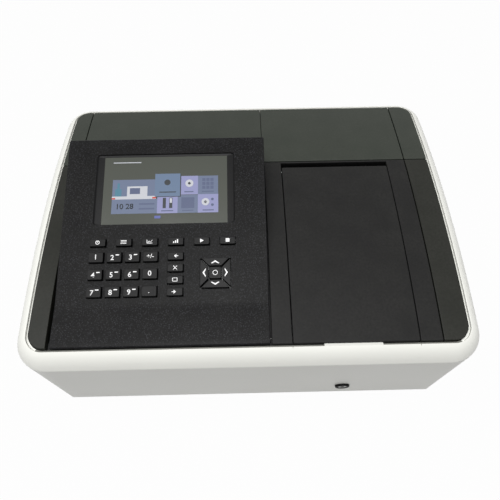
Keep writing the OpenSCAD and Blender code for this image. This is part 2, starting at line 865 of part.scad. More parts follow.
module grating_table() {
    z = optics_top + 0.4;
    color("silver") {
        translate([grating_x, grating_y, optics_z0 + 1])
            cylinder(r = spindle_r, h = z - optics_z0);
        translate([grating_x, grating_y, z])
            cylinder(r = table_r, h = 4);
        translate([grating_x, grating_y, z + 3])
            rotate([0, 0, 20]) {
                translate([-16, -2, 0])
                    cube([32, 9, beam_z + 16 - z - 3]);
                translate([-20, 6, 0])
                    cube([40, 6, 24]);
            }
    }
}

module stepper_motors() {
    // motor beside the grating table and motor behind the filter wheel
    color("dimgray") {
        translate([grating_x + 44, grating_y, optics_top]) {
            translate([-14, -14, 0])
                cube([28, 28, 31]);
            translate([0, 0, 30])
                cylinder(r = 2.5, h = 14);
        }
        block(wheel_x - 50, wheel_x - 22, wheel_y() - 14, wheel_y() + 14, optics_top, beam_z + 14);
        along_x(wheel_x - 23, wheel_x + wheel_t + 8, wheel_y(), beam_z, 2.5);
    }
}

function wheel_y() = beam_y + wheel_orbit;

module filter_wheel() {
    color("black")
        difference() {
            union() {
                along_x(wheel_x, wheel_x + wheel_t, wheel_y(), beam_z, wheel_r);
                along_x(wheel_x - 6, wheel_x + wheel_t + 4, wheel_y(), beam_z, 6);
            }
            along_x(wheel_x - 7, wheel_x + wheel_t + 5, wheel_y(), beam_z, 2.5 + run_gap);
            for (i = [1:filter_count])
                translate([wheel_x - 1, wheel_y(), beam_z])
                    rotate([i * 360 / filter_count, 0, 0])
                        translate([0, -wheel_orbit, 0])
                            rotate([0, 90, 0])
                                cylinder(r = filter_r, h = wheel_t + 2);
        }
}

// Round mirror on a block
module mirror_mount(x, y, turn) {
    translate([x, y, optics_top])
        rotate([0, 0, turn]) {
            translate([-9, 0, 0])
                cube([18, 10, beam_z - optics_top]);
            translate([0, mirror_t, beam_z - optics_top])
                rotate([90, 0, 0])
                    cylinder(r = mirror_r, h = mirror_t + 4);
        }
}

module mirrors() {
    color("lightsteelblue") {
        mirror_mount(grating_x - 20, beam_y - 4, 150);
        mirror_mount(grating_x + 10, beam_y - 4, 200);
        mirror_mount(grating_x - 16, lamp_y0 + 30, 20);
        mirror_mount(wheel_x + 12, lamp_y0 - 28, -60);
    }
}

module lamp_house() {
    z0 = optics_top;
    color("silver")
        difference() {
            block(lamp_x0, lamp_x0 + lamp_w, lamp_y0, lamp_y0 + lamp_l, z0, z0 + lamp_h);
            block(lamp_x0 + 2, lamp_x0 + lamp_w - 2, lamp_y0 + 2, lamp_y0 + lamp_l - 2, z0 - 1, z0 + lamp_h - 2);
            // way out for the light and way through for the air
            along_y(lamp_y0 - 1, lamp_y0 + 3, fan_x, beam_z, 8);
            for (i = [0:5])
                block(lamp_x0 + 8, lamp_x0 + lamp_w - 8, lamp_y0 + lamp_l - 3, lamp_y0 + lamp_l + 1,
                      z0 + 14 + i * 9, z0 + 18 + i * 9);
            for (i = [0:4])
                block(lamp_x0 + 12 + i * 10, lamp_x0 + 15 + i * 10, lamp_y0 + 12, lamp_y0 + lamp_l - 12,
                      z0 + lamp_h - 3, z0 + lamp_h + 1);
        }
}

module tungsten_lamp() {
    color("lightyellow")
        translate([lamp_x0 + 18, lamp_y0 + 30, optics_top]) {
            cylinder(r = 9, h = 14);
            translate([0, 0, 13])
                cylinder(r = 4, h = 26);
            translate([0, 0, 39])
                sphere(r = 6);
        }
}

module deuterium_lamp() {
    color("lightcyan")
        translate([lamp_x0 + 48, lamp_y0 + 30, optics_top]) {
            cylinder(r = 15, h = 12);
            translate([0, 0, 11])
                cylinder(r = 13, h = 50);
            translate([0, 0, 60])
                cylinder(r1 = 13, r2 = 4, h = 8);
        }
}

module detector() {
    x1 = detector_x0 + detector_w;
    color("dimgray")
        difference() {
            union() {
                block(detector_x0, x1, beam_y - detector_l / 2, beam_y + detector_l / 2,
                      beam_z - 20, beam_z + 20);
                block(x1 - 8, x1, beam_y - detector_l / 2, beam_y + detector_l / 2, pan_top, beam_z);
                block(detector_x0 + 6, x1, beam_y - detector_l / 2, beam_y + detector_l / 2,
                      pan_top, pan_top + 4);
            }
            along_x(detector_x0 - 1, detector_x0 + 22, beam_y, beam_z, 5);
        }
}

module power_supply() {
    x1 = supply_x0 + supply_w;
    y1 = supply_y0 + supply_l;
    z = board_z + 2;
    color("goldenrod") {
        block(supply_x0, x1, supply_y0, y1, board_z, z);
        // transformer, heat sink and capacitors
        block(supply_x0 + 8, supply_x0 + 46, supply_y0 + 34, supply_y0 + 74, z - eps, z + 32);
        block(supply_x0 + 4, supply_x0 + 8, supply_y0 + 6, y1 - 6, z - eps, z + 36);
        block(x1 - 10, x1 - 6, supply_y0 + 6, y1 - 30, z - eps, z + 28);
        for (y = [14, 88])
            translate([supply_x0 + 26, supply_y0 + y, z - eps])
                cylinder(r = 9, h = 30);
        for (y = [20, 40, 60, 80])
            translate([supply_x0 + 58, supply_y0 + y, z - eps])
                cylinder(r = 6, h = 20);
    }
}

module main_board() {
    z = board_z + board_t;
    color("darkgreen")
        difference() {
            union() {
                block(board_x0, board_x0 + board_w, board_y0, board_y0 + board_l, board_z, z);
                block(strip_x, strip_x + strip_w, board_y0 + board_l - 1, port_y, board_z, z);
                // processor, memory, converters and a ribbon socket
                block(board_x0 + 40, board_x0 + 64, board_y0 + 60, board_y0 + 84, z - eps, z + 2);
                for (i = [0:3])
                    block(board_x0 + 14 + i * 22, board_x0 + 28 + i * 22, board_y0 + 110, board_y0 + 120,
                          z - eps, z + 1.5);
                block(board_x0 + 20, board_x0 + 76, board_y0 + 14, board_y0 + 22, z - eps, z + 9);
                for (y = [44, 66, 88])
                    translate([board_x0 + 90, board_y0 + y, z - eps])
                        cylinder(r = 5, h = 14);
                block(usb_x0(), usb_x0() + usb_w, port_y - port_l, port_y, z - eps, z + usb_h);
                block(net_x0(), net_x0() + net_w, port_y - port_l, port_y, z - eps, z + net_h);
            }
            // mouths of the two sockets
            block(usb_x0() + 2, usb_x0() + usb_w - 2, port_y - 11, port_y + 1, z + 2, z + usb_h - 2);
            block(net_x0() + 2, net_x0() + net_w - 2, port_y - 12, port_y + 1, z + 2, z + net_h - 3);
        }
}

module fan_frame() {
    color("black")
        difference() {
            union() {
                difference() {
                    block(fan_x - fan_w / 2, fan_x + fan_w / 2, fan_y0, fan_y1,
                          fan_z - fan_w / 2, fan_z + fan_w / 2);
                    along_y(fan_y0 - 1, fan_y1 + 1, fan_x, fan_z, fan_bore_r);
                }
                // spider and axle
                for (a = [0, 120, 240])
                    translate([fan_x, 0, fan_z])
                        rotate([0, a, 0])
                            block(0, fan_bore_r + 1, fan_y1 - 2, fan_y1, -1.5, 1.5);
                along_y(fan_y1 - 2, fan_y1, fan_x, fan_z, fan_hub_r);
                along_y(fan_y0 + 2, fan_y1 - 1, fan_x, fan_z, fan_pin_r);
            }
            for (p = fan_spots)
                along_y(fan_y0 - 1, fan_y1 + 1, fan_x + p[0], fan_z + p[1], screw_r + run_gap);
        }
}

module fan_rotor() {
    y0 = fan_y0 + 1;
    y1 = fan_y1 - 2.6;
    color("black")
        difference() {
            union() {
                along_y(y0, y1, fan_x, fan_z, fan_hub_r);
                for (i = [1:blade_count])
                    translate([fan_x, (y0 + y1) / 2, fan_z])
                        rotate([0, i * 360 / blade_count, 0])
                            rotate([35, 0, 0])
                                translate([fan_hub_r - 1, -5, -0.8])
                                    cube([fan_bore_r - fan_hub_r - 0.6, 10, 1.6]);
            }
            along_y(y0 - 1, y1 + 1, fan_x, fan_z, fan_pin_r + run_gap);
        }
}

module power_inlet() {
    y = inlet_seat + inlet_t;
    color("black")
        difference() {
            union() {
                block(inlet_x - inlet_w / 2, inlet_x + inlet_w / 2, inlet_seat, y,
                      inlet_z - inlet_h / 2, inlet_z + inlet_h / 2);
                block(inlet_x - inlet_w / 2 + 8.4, inlet_x + inlet_w / 2 - 8.4, inlet_seat - 24, inlet_seat + 1,
                      inlet_z - inlet_h / 2 + 3.4, inlet_z + inlet_h / 2 - 3.4);
            }
            // mouth with three blades left standing
            difference() {
                block(inlet_x + mouth_x - mouth_w / 2, inlet_x + mouth_x + mouth_w / 2, y - 18, y + 1,
                      inlet_z - mouth_h / 2, inlet_z + mouth_h / 2);
                for (x = [-6, 6])
                    block(inlet_x + mouth_x + x - 1, inlet_x + mouth_x + x + 1, y - 19, y - 4,
                          inlet_z - 3.5, inlet_z + 0.5);
                block(inlet_x + mouth_x - 1, inlet_x + mouth_x + 1, y - 19, y - 3, inlet_z + 1.5, inlet_z + 5.5);
            }
            // room for the rocker, and its pivot
            block(inlet_x + rocker_x - rocker_w / 2 - 0.4, inlet_x + rocker_x + rocker_w / 2 + 0.4,
                  y - 12, y + 1, inlet_z - rocker_h / 2 - 0.6, inlet_z + rocker_h / 2 + 0.6);
            for (x = inlet_spots)
                along_y(inlet_seat - 1, y + 1, inlet_x + x, inlet_z, screw_r + run_gap);
        }
}

module power_rocker() {
    x0 = inlet_x + rocker_x - rocker_w / 2;
    half = rocker_h / 2;
    rise = half * tan(rocker_tilt);
    color("black")
        translate([0, rocker_y, inlet_z])
            rotate([rocker_tilt, 0, 0]) {
                // shallow vee across its face, round back
                profile(x0, x0 + rocker_w, [[-4, -3], [-1, -half], [2.6 + rise, -half], [2.6, 0],
                                            [2.6 + rise, half], [-1, half], [-4, 3]]);
                along_x(x0, x0 + rocker_w, -2.5, 0, 3);
            }
}

module feet() {
    color("black")
        for (p = foot_spots)
            translate([p[0], p[1], 0]) {
                rotate_extrude()
                    polygon([[0, 0], [foot_r - 1.5, 0], [foot_r, 1.5], [foot_r, foot_h], [0, foot_h]]);
                translate([0, 0, foot_h - eps])
                    cylinder(r = 3, h = pan_t);
            }
}

module screws() {
    color("silver") {
        for (p = screw_spots)
            translate([p[0], p[1], foot_h + 0.1]) {
                cylinder(r = screw_r, h = 14);
                cylinder(r = 2 * screw_r, h = 1.29 - eps);
            }
        for (x = inlet_spots) {
            along_y(inlet_seat - 8, inlet_seat + inlet_t + eps, inlet_x + x, inlet_z, screw_r);
            along_y(inlet_seat + inlet_t, inlet_seat + inlet_t + 1.2, inlet_x + x, inlet_z, 2 * screw_r);
        }
        for (p = fan_spots) {
            y = wall_out(fan_z + p[1] + 2 * screw_r, rear_crease_z()) + 0.05;
            along_y(fan_y0 + 2, y + eps, fan_x + p[0], fan_z + p[1], screw_r);
            along_y(y, y + 1.2, fan_x + p[0], fan_z + p[1], 2 * screw_r);
        }
    }
}

base_pan();
casing();
rear_covers();
side_trims();
bay_frame();
console();
display_glass();
lcd_module();
keypad_board();
sample_lid();
hinge_pins();
bay_liner();
cell_carriage();
pull_rod();
rod_bush();
carriage_rails();
optics_base();
lamp_house();
tungsten_lamp();
deuterium_lamp();
grating_table();
stepper_motors();
mirrors();
filter_wheel();
detector();
power_supply();
main_board();
fan_frame();
fan_rotor();
power_inlet();
power_rocker();
feet();
screws();
for (k = BOX_KEYS)
    box_key(k);
for (k = ARROW_KEYS)
    arrow_key(k);
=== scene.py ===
import math
import bmesh
import bpy
from mathutils import Matrix, Vector


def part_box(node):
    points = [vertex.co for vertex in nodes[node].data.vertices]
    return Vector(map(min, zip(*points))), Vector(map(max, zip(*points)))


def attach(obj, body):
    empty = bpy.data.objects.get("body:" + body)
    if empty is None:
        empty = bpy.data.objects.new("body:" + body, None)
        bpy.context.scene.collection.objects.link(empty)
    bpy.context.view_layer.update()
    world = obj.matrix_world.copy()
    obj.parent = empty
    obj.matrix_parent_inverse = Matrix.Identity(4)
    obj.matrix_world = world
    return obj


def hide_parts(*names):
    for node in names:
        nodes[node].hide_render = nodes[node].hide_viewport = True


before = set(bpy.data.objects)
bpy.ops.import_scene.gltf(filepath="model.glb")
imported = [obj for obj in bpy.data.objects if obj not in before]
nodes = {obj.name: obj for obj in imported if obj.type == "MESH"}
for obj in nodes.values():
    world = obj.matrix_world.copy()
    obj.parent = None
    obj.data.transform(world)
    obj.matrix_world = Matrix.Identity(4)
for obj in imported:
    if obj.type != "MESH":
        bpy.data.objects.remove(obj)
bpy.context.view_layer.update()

mm = 0.001


def paint(red, green, blue):  # a colour as seen on screen, 0 to 255, turned into the renderer's linear colour
    def linear(c):
        c = c / 255
        return c / 12.92 if c <= 0.04045 else ((c + 0.055) / 1.055) ** 2.4
    return (linear(red), linear(green), linear(blue), 1)


# ---- camera, floor and lights

cameraSpec = {
    "place": (-1.1, -298.6, 626.4),  # mm
    "lookDown": 61.83,  # degrees below the horizon
    "turn": 0.96,  # degrees to the right
    "roll": -0.34,
    "lens": 34.16,
}


def makeCamera(spec):
    down, turn, roll = (math.radians(spec[k]) for k in ("lookDown", "turn", "roll"))
    forward = Vector((math.sin(turn) * math.cos(down), math.cos(turn) * math.cos(down), -math.sin(down)))
    right = Vector((math.cos(turn), -math.sin(turn), 0))
    up = right.cross(forward)
    right, up = right * math.cos(roll) + up * math.sin(roll), up * math.cos(roll) - right * math.sin(roll)
    camera = bpy.data.objects.new("camera", bpy.data.cameras.new("camera"))
    camera.data.lens = spec["lens"]
    camera.data.clip_start = 0.01
    camera.matrix_world = Matrix((right, up, -forward)).transposed().to_4x4()
    camera.location = Vector(spec["place"]) * mm
    bpy.context.collection.objects.link(camera)
    bpy.context.scene.camera = camera


stageSpec = {
    "floorSize": 6.0,
    "floorColour": (0.35, 0.35, 0.35, 1),
    "whiteShare": 0.975,  # how much of the floor the camera sees as plain white
    "worldLight": 0.34,
    "lamps": [  # name, place, size, watts
        ("keyLamp", (-0.1, -0.35, 2.1), 1.0, 34),
        ("leftLamp", (-0.97, 0.02, 1.94), 0.5, 7),
    ],
}


def seenRays(tree):  # 1 where the camera looks straight at the surface, or sees it in gloss or glass
    path = tree.nodes.new("ShaderNodeLightPath")
    first = tree.nodes.new("ShaderNodeMath")
    first.operation = "MAXIMUM"
    tree.links.new(path.outputs["Is Camera Ray"], first.inputs[0])
    tree.links.new(path.outputs["Is Glossy Ray"], first.inputs[1])
    second = tree.nodes.new("ShaderNodeMath")
    second.operation = "MAXIMUM"
    tree.links.new(first.outputs[0], second.inputs[0])
    tree.links.new(path.outputs["Is Transmission Ray"], second.inputs[1])
    return second.outputs[0]


def makeStage(spec):
    world = bpy.data.worlds.new("studio")
    bpy.context.scene.world = world
    world.use_nodes = True
    tree = world.node_tree
    background = tree.nodes["Background"]
    background.inputs["Color"].default_value = (1, 1, 1, 1)
    strength = tree.nodes.new("ShaderNodeMapRange")
    strength.inputs["To Min"].default_value = spec["worldLight"]
    strength.inputs["To Max"].default_value = 1
    tree.links.new(seenRays(tree), strength.inputs["Value"])
    tree.links.new(strength.outputs["Result"], background.inputs["Strength"])

    mesh = bpy.data.meshes.new("floor")
    s = spec["floorSize"] / 2
    mesh.from_pydata([(-s, -s, 0), (s, -s, 0), (s, s, 0), (-s, s, 0)], [], [(0, 1, 2, 3)])
    floor = bpy.data.objects.new("floor", mesh)
    bpy.context.collection.objects.link(floor)
    paper = bpy.data.materials.new("floorPaper")
    paper.use_nodes = True
    tree = paper.node_tree
    tree.nodes.clear()
    matt = tree.nodes.new("ShaderNodeBsdfDiffuse")
    matt.inputs["Color"].default_value = spec["floorColour"]
    white = tree.nodes.new("ShaderNodeEmission")
    white.inputs["Color"].default_value = (1, 1, 1, 1)
    share = tree.nodes.new("ShaderNodeMath")
    share.operation = "MULTIPLY"
    share.inputs[1].default_value = spec["whiteShare"]
    tree.links.new(seenRays(tree), share.inputs[0])
    mix = tree.nodes.new("ShaderNodeMixShader")
    out = tree.nodes.new("ShaderNodeOutputMaterial")
    tree.links.new(share.outputs[0], mix.inputs["Fac"])
    tree.links.new(matt.outputs[0], mix.inputs[1])
    tree.links.new(white.outputs[0], mix.inputs[2])
    tree.links.new(mix.outputs[0], out.inputs["Surface"])
    mesh.materials.append(paper)
    for name, place, size, watts in spec["lamps"]:
        lamp = bpy.data.objects.new(name, bpy.data.lights.new(name, "AREA"))
        lamp.data.size = size
        lamp.data.energy = watts
        lamp.location = place
        lamp.rotation_euler = (Vector((0, 0, 0.1)) - lamp.location).to_track_quat("-Z", "Y").to_euler()
        bpy.context.collection.objects.link(lamp)


bpy.context.scene.view_settings.view_transform = "Standard"
makeCamera(cameraSpec)
makeStage(stageSpec)
print("camera and lights placed")


# ---- effects that materials share


def newGroup(name, inputs, outputs):
    tree = bpy.data.node_groups.new(name, "ShaderNodeTree")
    for label, kind, value in inputs:
        socket = tree.interface.new_socket(name=label, in_out="INPUT", socket_type=kind)
        socket.default_value = value
    for label, kind in outputs:
        tree.interface.new_socket(name=label, in_out="OUTPUT", socket_type=kind)
    return tree, tree.nodes.new("NodeGroupInput"), tree.nodes.new("NodeGroupOutput")


def mathNode(tree, operation, a, b, clamp=False):
    node = tree.nodes.new("ShaderNodeMath")
    node.operation = operation
    node.use_clamp = clamp
    for i, value in enumerate((a, b)):
        if isinstance(value, (int, float)):
            node.inputs[i].default_value = value
        else:
            tree.links.new(value, node.inputs[i])
    return node.outputs[0]


def noiseNode(tree, scale, detail=2.0):  # noise in the piece's own space, so it rides along when the piece moves
    place = tree.nodes.new("ShaderNodeTexCoord")
    noise = tree.nodes.new("ShaderNodeTexNoise")
    noise.inputs["Detail"].default_value = detail
    tree.links.new(place.outputs["Object"], noise.inputs["Vector"])
    if isinstance(scale, (int, float)):
        noise.inputs["Scale"].default_value = scale
    else:
        tree.links.new(scale, noise.inputs["Scale"])
    return noise.outputs["Fac"]


def makeGrain():  # fine moulded texture
    tree, given, result = newGroup(
        "grain", [("Scale", "NodeSocketFloat", 900.0)],
        [("Height", "NodeSocketFloat"), ("Tone", "NodeSocketFloat")])
    fine = noiseNode(tree, given.outputs["Scale"], 3.0)
    coarse = noiseNode(tree, mathNode(tree, "MULTIPLY", given.outputs["Scale"], 0.31), 1.0)
    both = mathNode(tree, "ADD", mathNode(tree, "MULTIPLY", fine, 0.7), mathNode(tree, "MULTIPLY", coarse, 0.3))
    tree.links.new(both, result.inputs["Height"])
    tree.links.new(mathNode(tree, "SUBTRACT", both, 0.5), result.inputs["Tone"])
    return tree


def makeSpeckle():  # scattered lighter flecks in a coarse texture
    tree, given, result = newGroup(
        "speckle", [("Scale", "NodeSocketFloat", 700.0), ("Cover", "NodeSocketFloat", 0.3)],
        [("Mask", "NodeSocketFloat")])
    place = tree.nodes.new("ShaderNodeTexCoord")
    cells = tree.nodes.new("ShaderNodeTexVoronoi")
    tree.links.new(place.outputs["Object"], cells.inputs["Vector"])
    tree.links.new(given.outputs["Scale"], cells.inputs["Scale"])
    fleck = tree.nodes.new("ShaderNodeMapRange")
    tree.links.new(cells.outputs["Distance"], fleck.inputs["Value"])
    tree.links.new(given.outputs["Cover"], fleck.inputs["From Max"])
    fleck.inputs["To Min"].default_value = 1
    fleck.inputs["To Max"].default_value = 0
    patchy = noiseNode(tree, mathNode(tree, "MULTIPLY", given.outputs["Scale"], 0.2), 2.0)
    tree.links.new(mathNode(tree, "MULTIPLY", fleck.outputs["Result"], patchy), result.inputs["Mask"])
    return tree


def makeSmudge():  # slow, faint variation of gloss and tone over a surface
    tree, given, result = newGroup("smudge", [("Scale", "NodeSocketFloat", 14.0)], [("Value", "NodeSocketFloat")])
    slow = noiseNode(tree, given.outputs["Scale"], 4.0)
    tree.links.new(mathNode(tree, "SUBTRACT", slow, 0.5), result.inputs["Value"])
    return tree


def makeEdgeWear():  # brighter, smoother lines where hands rub the edges
    tree, given, result = newGroup("edgeWear", [("Amount", "NodeSocketFloat", 0.5)], [("Mask", "NodeSocketFloat")])
    shape = tree.nodes.new("ShaderNodeNewGeometry")
    ramp = tree.nodes.new("ShaderNodeMapRange")
    ramp.inputs["From Min"].default_value = 0.53
    ramp.inputs["From Max"].default_value = 0.62
    tree.links.new(shape.outputs["Pointiness"], ramp.inputs["Value"])
    patchy = mathNode(tree, "MULTIPLY", ramp.outputs["Result"], noiseNode(tree, 60.0, 3.0))
    tree.links.new(mathNode(tree, "MULTIPLY", patchy, given.outputs["Amount"], True), result.inputs["Mask"])
    return tree


def makeDust():  # thin settled dust on faces that look up
    tree, given, result = newGroup("dust", [("Amount", "NodeSocketFloat", 0.1)], [("Mask", "NodeSocketFloat")])
    shape = tree.nodes.new("ShaderNodeNewGeometry")
    split = tree.nodes.new("ShaderNodeSeparateXYZ")
    tree.links.new(shape.outputs["Normal"], split.inputs[0])
    up = mathNode(tree, "MAXIMUM", split.outputs["Z"], 0.0)
    motes = mathNode(tree, "MULTIPLY", noiseNode(tree, 35.0, 5.0), noiseNode(tree, 420.0, 2.0))
    tree.links.new(mathNode(tree, "MULTIPLY", mathNode(tree, "MULTIPLY", up, motes), given.outputs["Amount"], True),
                   result.inputs["Mask"])
    return tree


grain, speckle, smudge, edgeWear, dust = makeGrain(), makeSpeckle(), makeSmudge(), makeEdgeWear(), makeDust()


def place(tree, group, **values):
    node = tree.nodes.new("ShaderNodeGroup")
    node.node_tree = group
    for label, value in values.items():
        node.inputs[label].default_value = value
    return node


def mixColour(tree, factor, a, b):
    node = tree.nodes.new("ShaderNodeMix")
    node.data_type = "RGBA"
    if isinstance(factor, (int, float)):
        node.inputs["Factor"].default_value = factor
    else:
        tree.links.new(factor, node.inputs["Factor"])
    for i, value in ((6, a), (7, b)):
        if isinstance(value, tuple):
            node.inputs[i].default_value = value
        else:
            tree.links.new(value, node.inputs[i])
    return node.outputs[2]


def startMaterial(name, **plain):
    material = bpy.data.materials.new(name)
    material.use_nodes = True
    shader = material.node_tree.nodes["Principled BSDF"]
    for label, value in plain.items():
        shader.inputs[label].default_value = value
    return material, material.node_tree, shader


def scaled(colour, factor):
    return (colour[0] * factor, colour[1] * factor, colour[2] * factor, 1)


# ---- materials


def mouldedPlastic(name, spec):
    material, tree, shader = startMaterial(name)
    shader.inputs["Specular IOR Level"].default_value = spec.get("specular", 0.5)
    texture = place(tree, grain, Scale=spec["grainScale"])
    slow = place(tree, smudge, Scale=spec.get("smudgeScale", 14.0))
    tone = mathNode(tree, "ADD", mathNode(tree, "MULTIPLY", texture.outputs["Tone"], spec["grainTone"]),
                    mathNode(tree, "MULTIPLY", slow.outputs["Value"], spec["smudgeTone"]))
    light = mathNode(tree, "ADD", tone, 0.5, True)
    colour = mixColour(tree, light, scaled(spec["colour"], 0.6), scaled(spec["colour"], 1.4))
    if "fleck" in spec:
        flecks = place(tree, speckle, Scale=spec["fleckScale"], Cover=spec["fleckCover"])
        colour = mixColour(tree, flecks.outputs["Mask"], colour, spec["fleck"])
    worn = place(tree, edgeWear, Amount=spec["wear"])
    colour = mixColour(tree, worn.outputs["Mask"], colour, spec["wornColour"])
    settled = place(tree, dust, Amount=spec["dust"])
    colour = mixColour(tree, settled.outputs["Mask"], colour, paint(190, 188, 180))
    tree.links.new(colour, shader.inputs["Base Color"])
    rough = mathNode(tree, "ADD", mathNode(tree, "MULTIPLY", slow.outputs["Value"], spec["smudgeGloss"]), spec["roughness"], True)
    tree.links.new(rough, shader.inputs["Roughness"])
    bump = tree.nodes.new("ShaderNodeBump")
    bump.inputs["Strength"].default_value = spec["bump"]
    bump.inputs["Distance"].default_value = spec["bumpDepth"] * mm
    tree.links.new(texture.outputs["Height"], bump.inputs["Height"])
    tree.links.new(bump.outputs["Normal"], shader.inputs["Normal"])
    return material


def brushedMetal(name, spec):
    material, tree, shader = startMaterial(name, Metallic=1.0)
    where = tree.nodes.new("ShaderNodeTexCoord")
    stretch = tree.nodes.new("ShaderNodeMapping")
    stretch.inputs["Scale"].default_value = spec["stretch"]
    lines = tree.nodes.new("ShaderNodeTexNoise")
    lines.inputs["Scale"].default_value = spec["lineScale"]
    lines.inputs["Detail"].default_value = 4
    tree.links.new(where.outputs["Object"], stretch.inputs["Vector"])
    tree.links.new(stretch.outputs["Vector"], lines.inputs["Vector"])
    colour = mixColour(tree, lines.outputs["Fac"], scaled(spec["colour"], 0.75), scaled(spec["colour"], 1.15))
    worn = place(tree, edgeWear, Amount=0.5)
    tree.links.new(mixColour(tree, worn.outputs["Mask"], colour, scaled(spec["colour"], 1.3)), shader.inputs["Base Color"])
    rough = mathNode(tree, "ADD", mathNode(tree, "MULTIPLY", lines.outputs["Fac"], 0.2), spec["roughness"] - 0.1, True)
    tree.links.new(rough, shader.inputs["Roughness"])
    bump = tree.nodes.new("ShaderNodeBump")
    bump.inputs["Strength"].default_value = 0.2
    bump.inputs["Distance"].default_value = 0.02 * mm
    tree.links.new(lines.outputs["Fac"], bump.inputs["Height"])
    tree.links.new(bump.outputs["Normal"], shader.inputs["Normal"])
    return material


def solderMask(name, spec):  # circuit board with paler tracks under the lacquer
    material, tree, shader = startMaterial(name)
    where = tree.nodes.new("ShaderNodeTexCoord")
    tracks = tree.nodes.new("ShaderNodeTexBrick")
    tracks.inputs["Scale"].default_value = spec["trackScale"]
    tracks.inputs["Mortar Size"].default_value = 0.06
    tracks.inputs["Color1"].default_value = (0, 0, 0, 1)
    tracks.inputs["Color2"].default_value = (0.3, 0.3, 0.3, 1)
    tracks.inputs["Mortar"].default_value = (1, 1, 1, 1)
    tree.links.new(where.outputs["Object"], tracks.inputs["Vector"])
    slow = place(tree, smudge, Scale=40.0)
    colour = mixColour(tree, tracks.outputs["Color"], spec["colour"], spec["trackColour"])
    tree.links.new(mixColour(tree, mathNode(tree, "ADD", slow.outputs["Value"], 0.3, True), colour,
                             scaled(spec["colour"], 0.6)), shader.inputs["Base Color"])
    tree.links.new(mathNode(tree, "ADD", slow.outputs["Value"], 0.4, True), shader.inputs["Roughness"])
    return material


def clearGlass(name, spec):
    material, tree, shader = startMaterial(name, **{"Transmission Weight": 1.0, "IOR": 1.45})
    haze = place(tree, smudge, Scale=60.0)
    tree.links.new(mixColour(tree, mathNode(tree, "ADD", haze.outputs["Value"], 0.5, True), spec["colour"],
                             scaled(spec["colour"], 0.9)), shader.inputs["Base Color"])
    tree.links.new(mathNode(tree, "ADD", mathNode(tree, "MULTIPLY", haze.outputs["Value"], 0.1), 0.08, True),
                   shader.inputs["Roughness"])
    return material


def printedInk(name, spec):  # legends and the pictures that the display shows
    material, tree, shader = startMaterial(name)
    shader.inputs["Specular IOR Level"].default_value = spec.get("specular", 0.4)
    shader.inputs["Coat Weight"].default_value = spec.get("coat", 0.0)
    shader.inputs["Coat Roughness"].default_value = 0.12
    texture = place(tree, grain, Scale=spec.get("grainScale", 1500.0))
    light = mathNode(tree, "ADD", mathNode(tree, "MULTIPLY", texture.outputs["Tone"], spec.get("grainTone", 0.3)), 0.5, True)
    colour = mixColour(tree, light, scaled(spec["colour"], 0.88), scaled(spec["colour"], 1.12))
    tree.links.new(colour, shader.inputs["Base Color"])
    tree.links.new(mathNode(tree, "ADD", mathNode(tree, "MULTIPLY", texture.outputs["Tone"], 0.1), spec["roughness"], True),
                   shader.inputs["Roughness"])
    return material


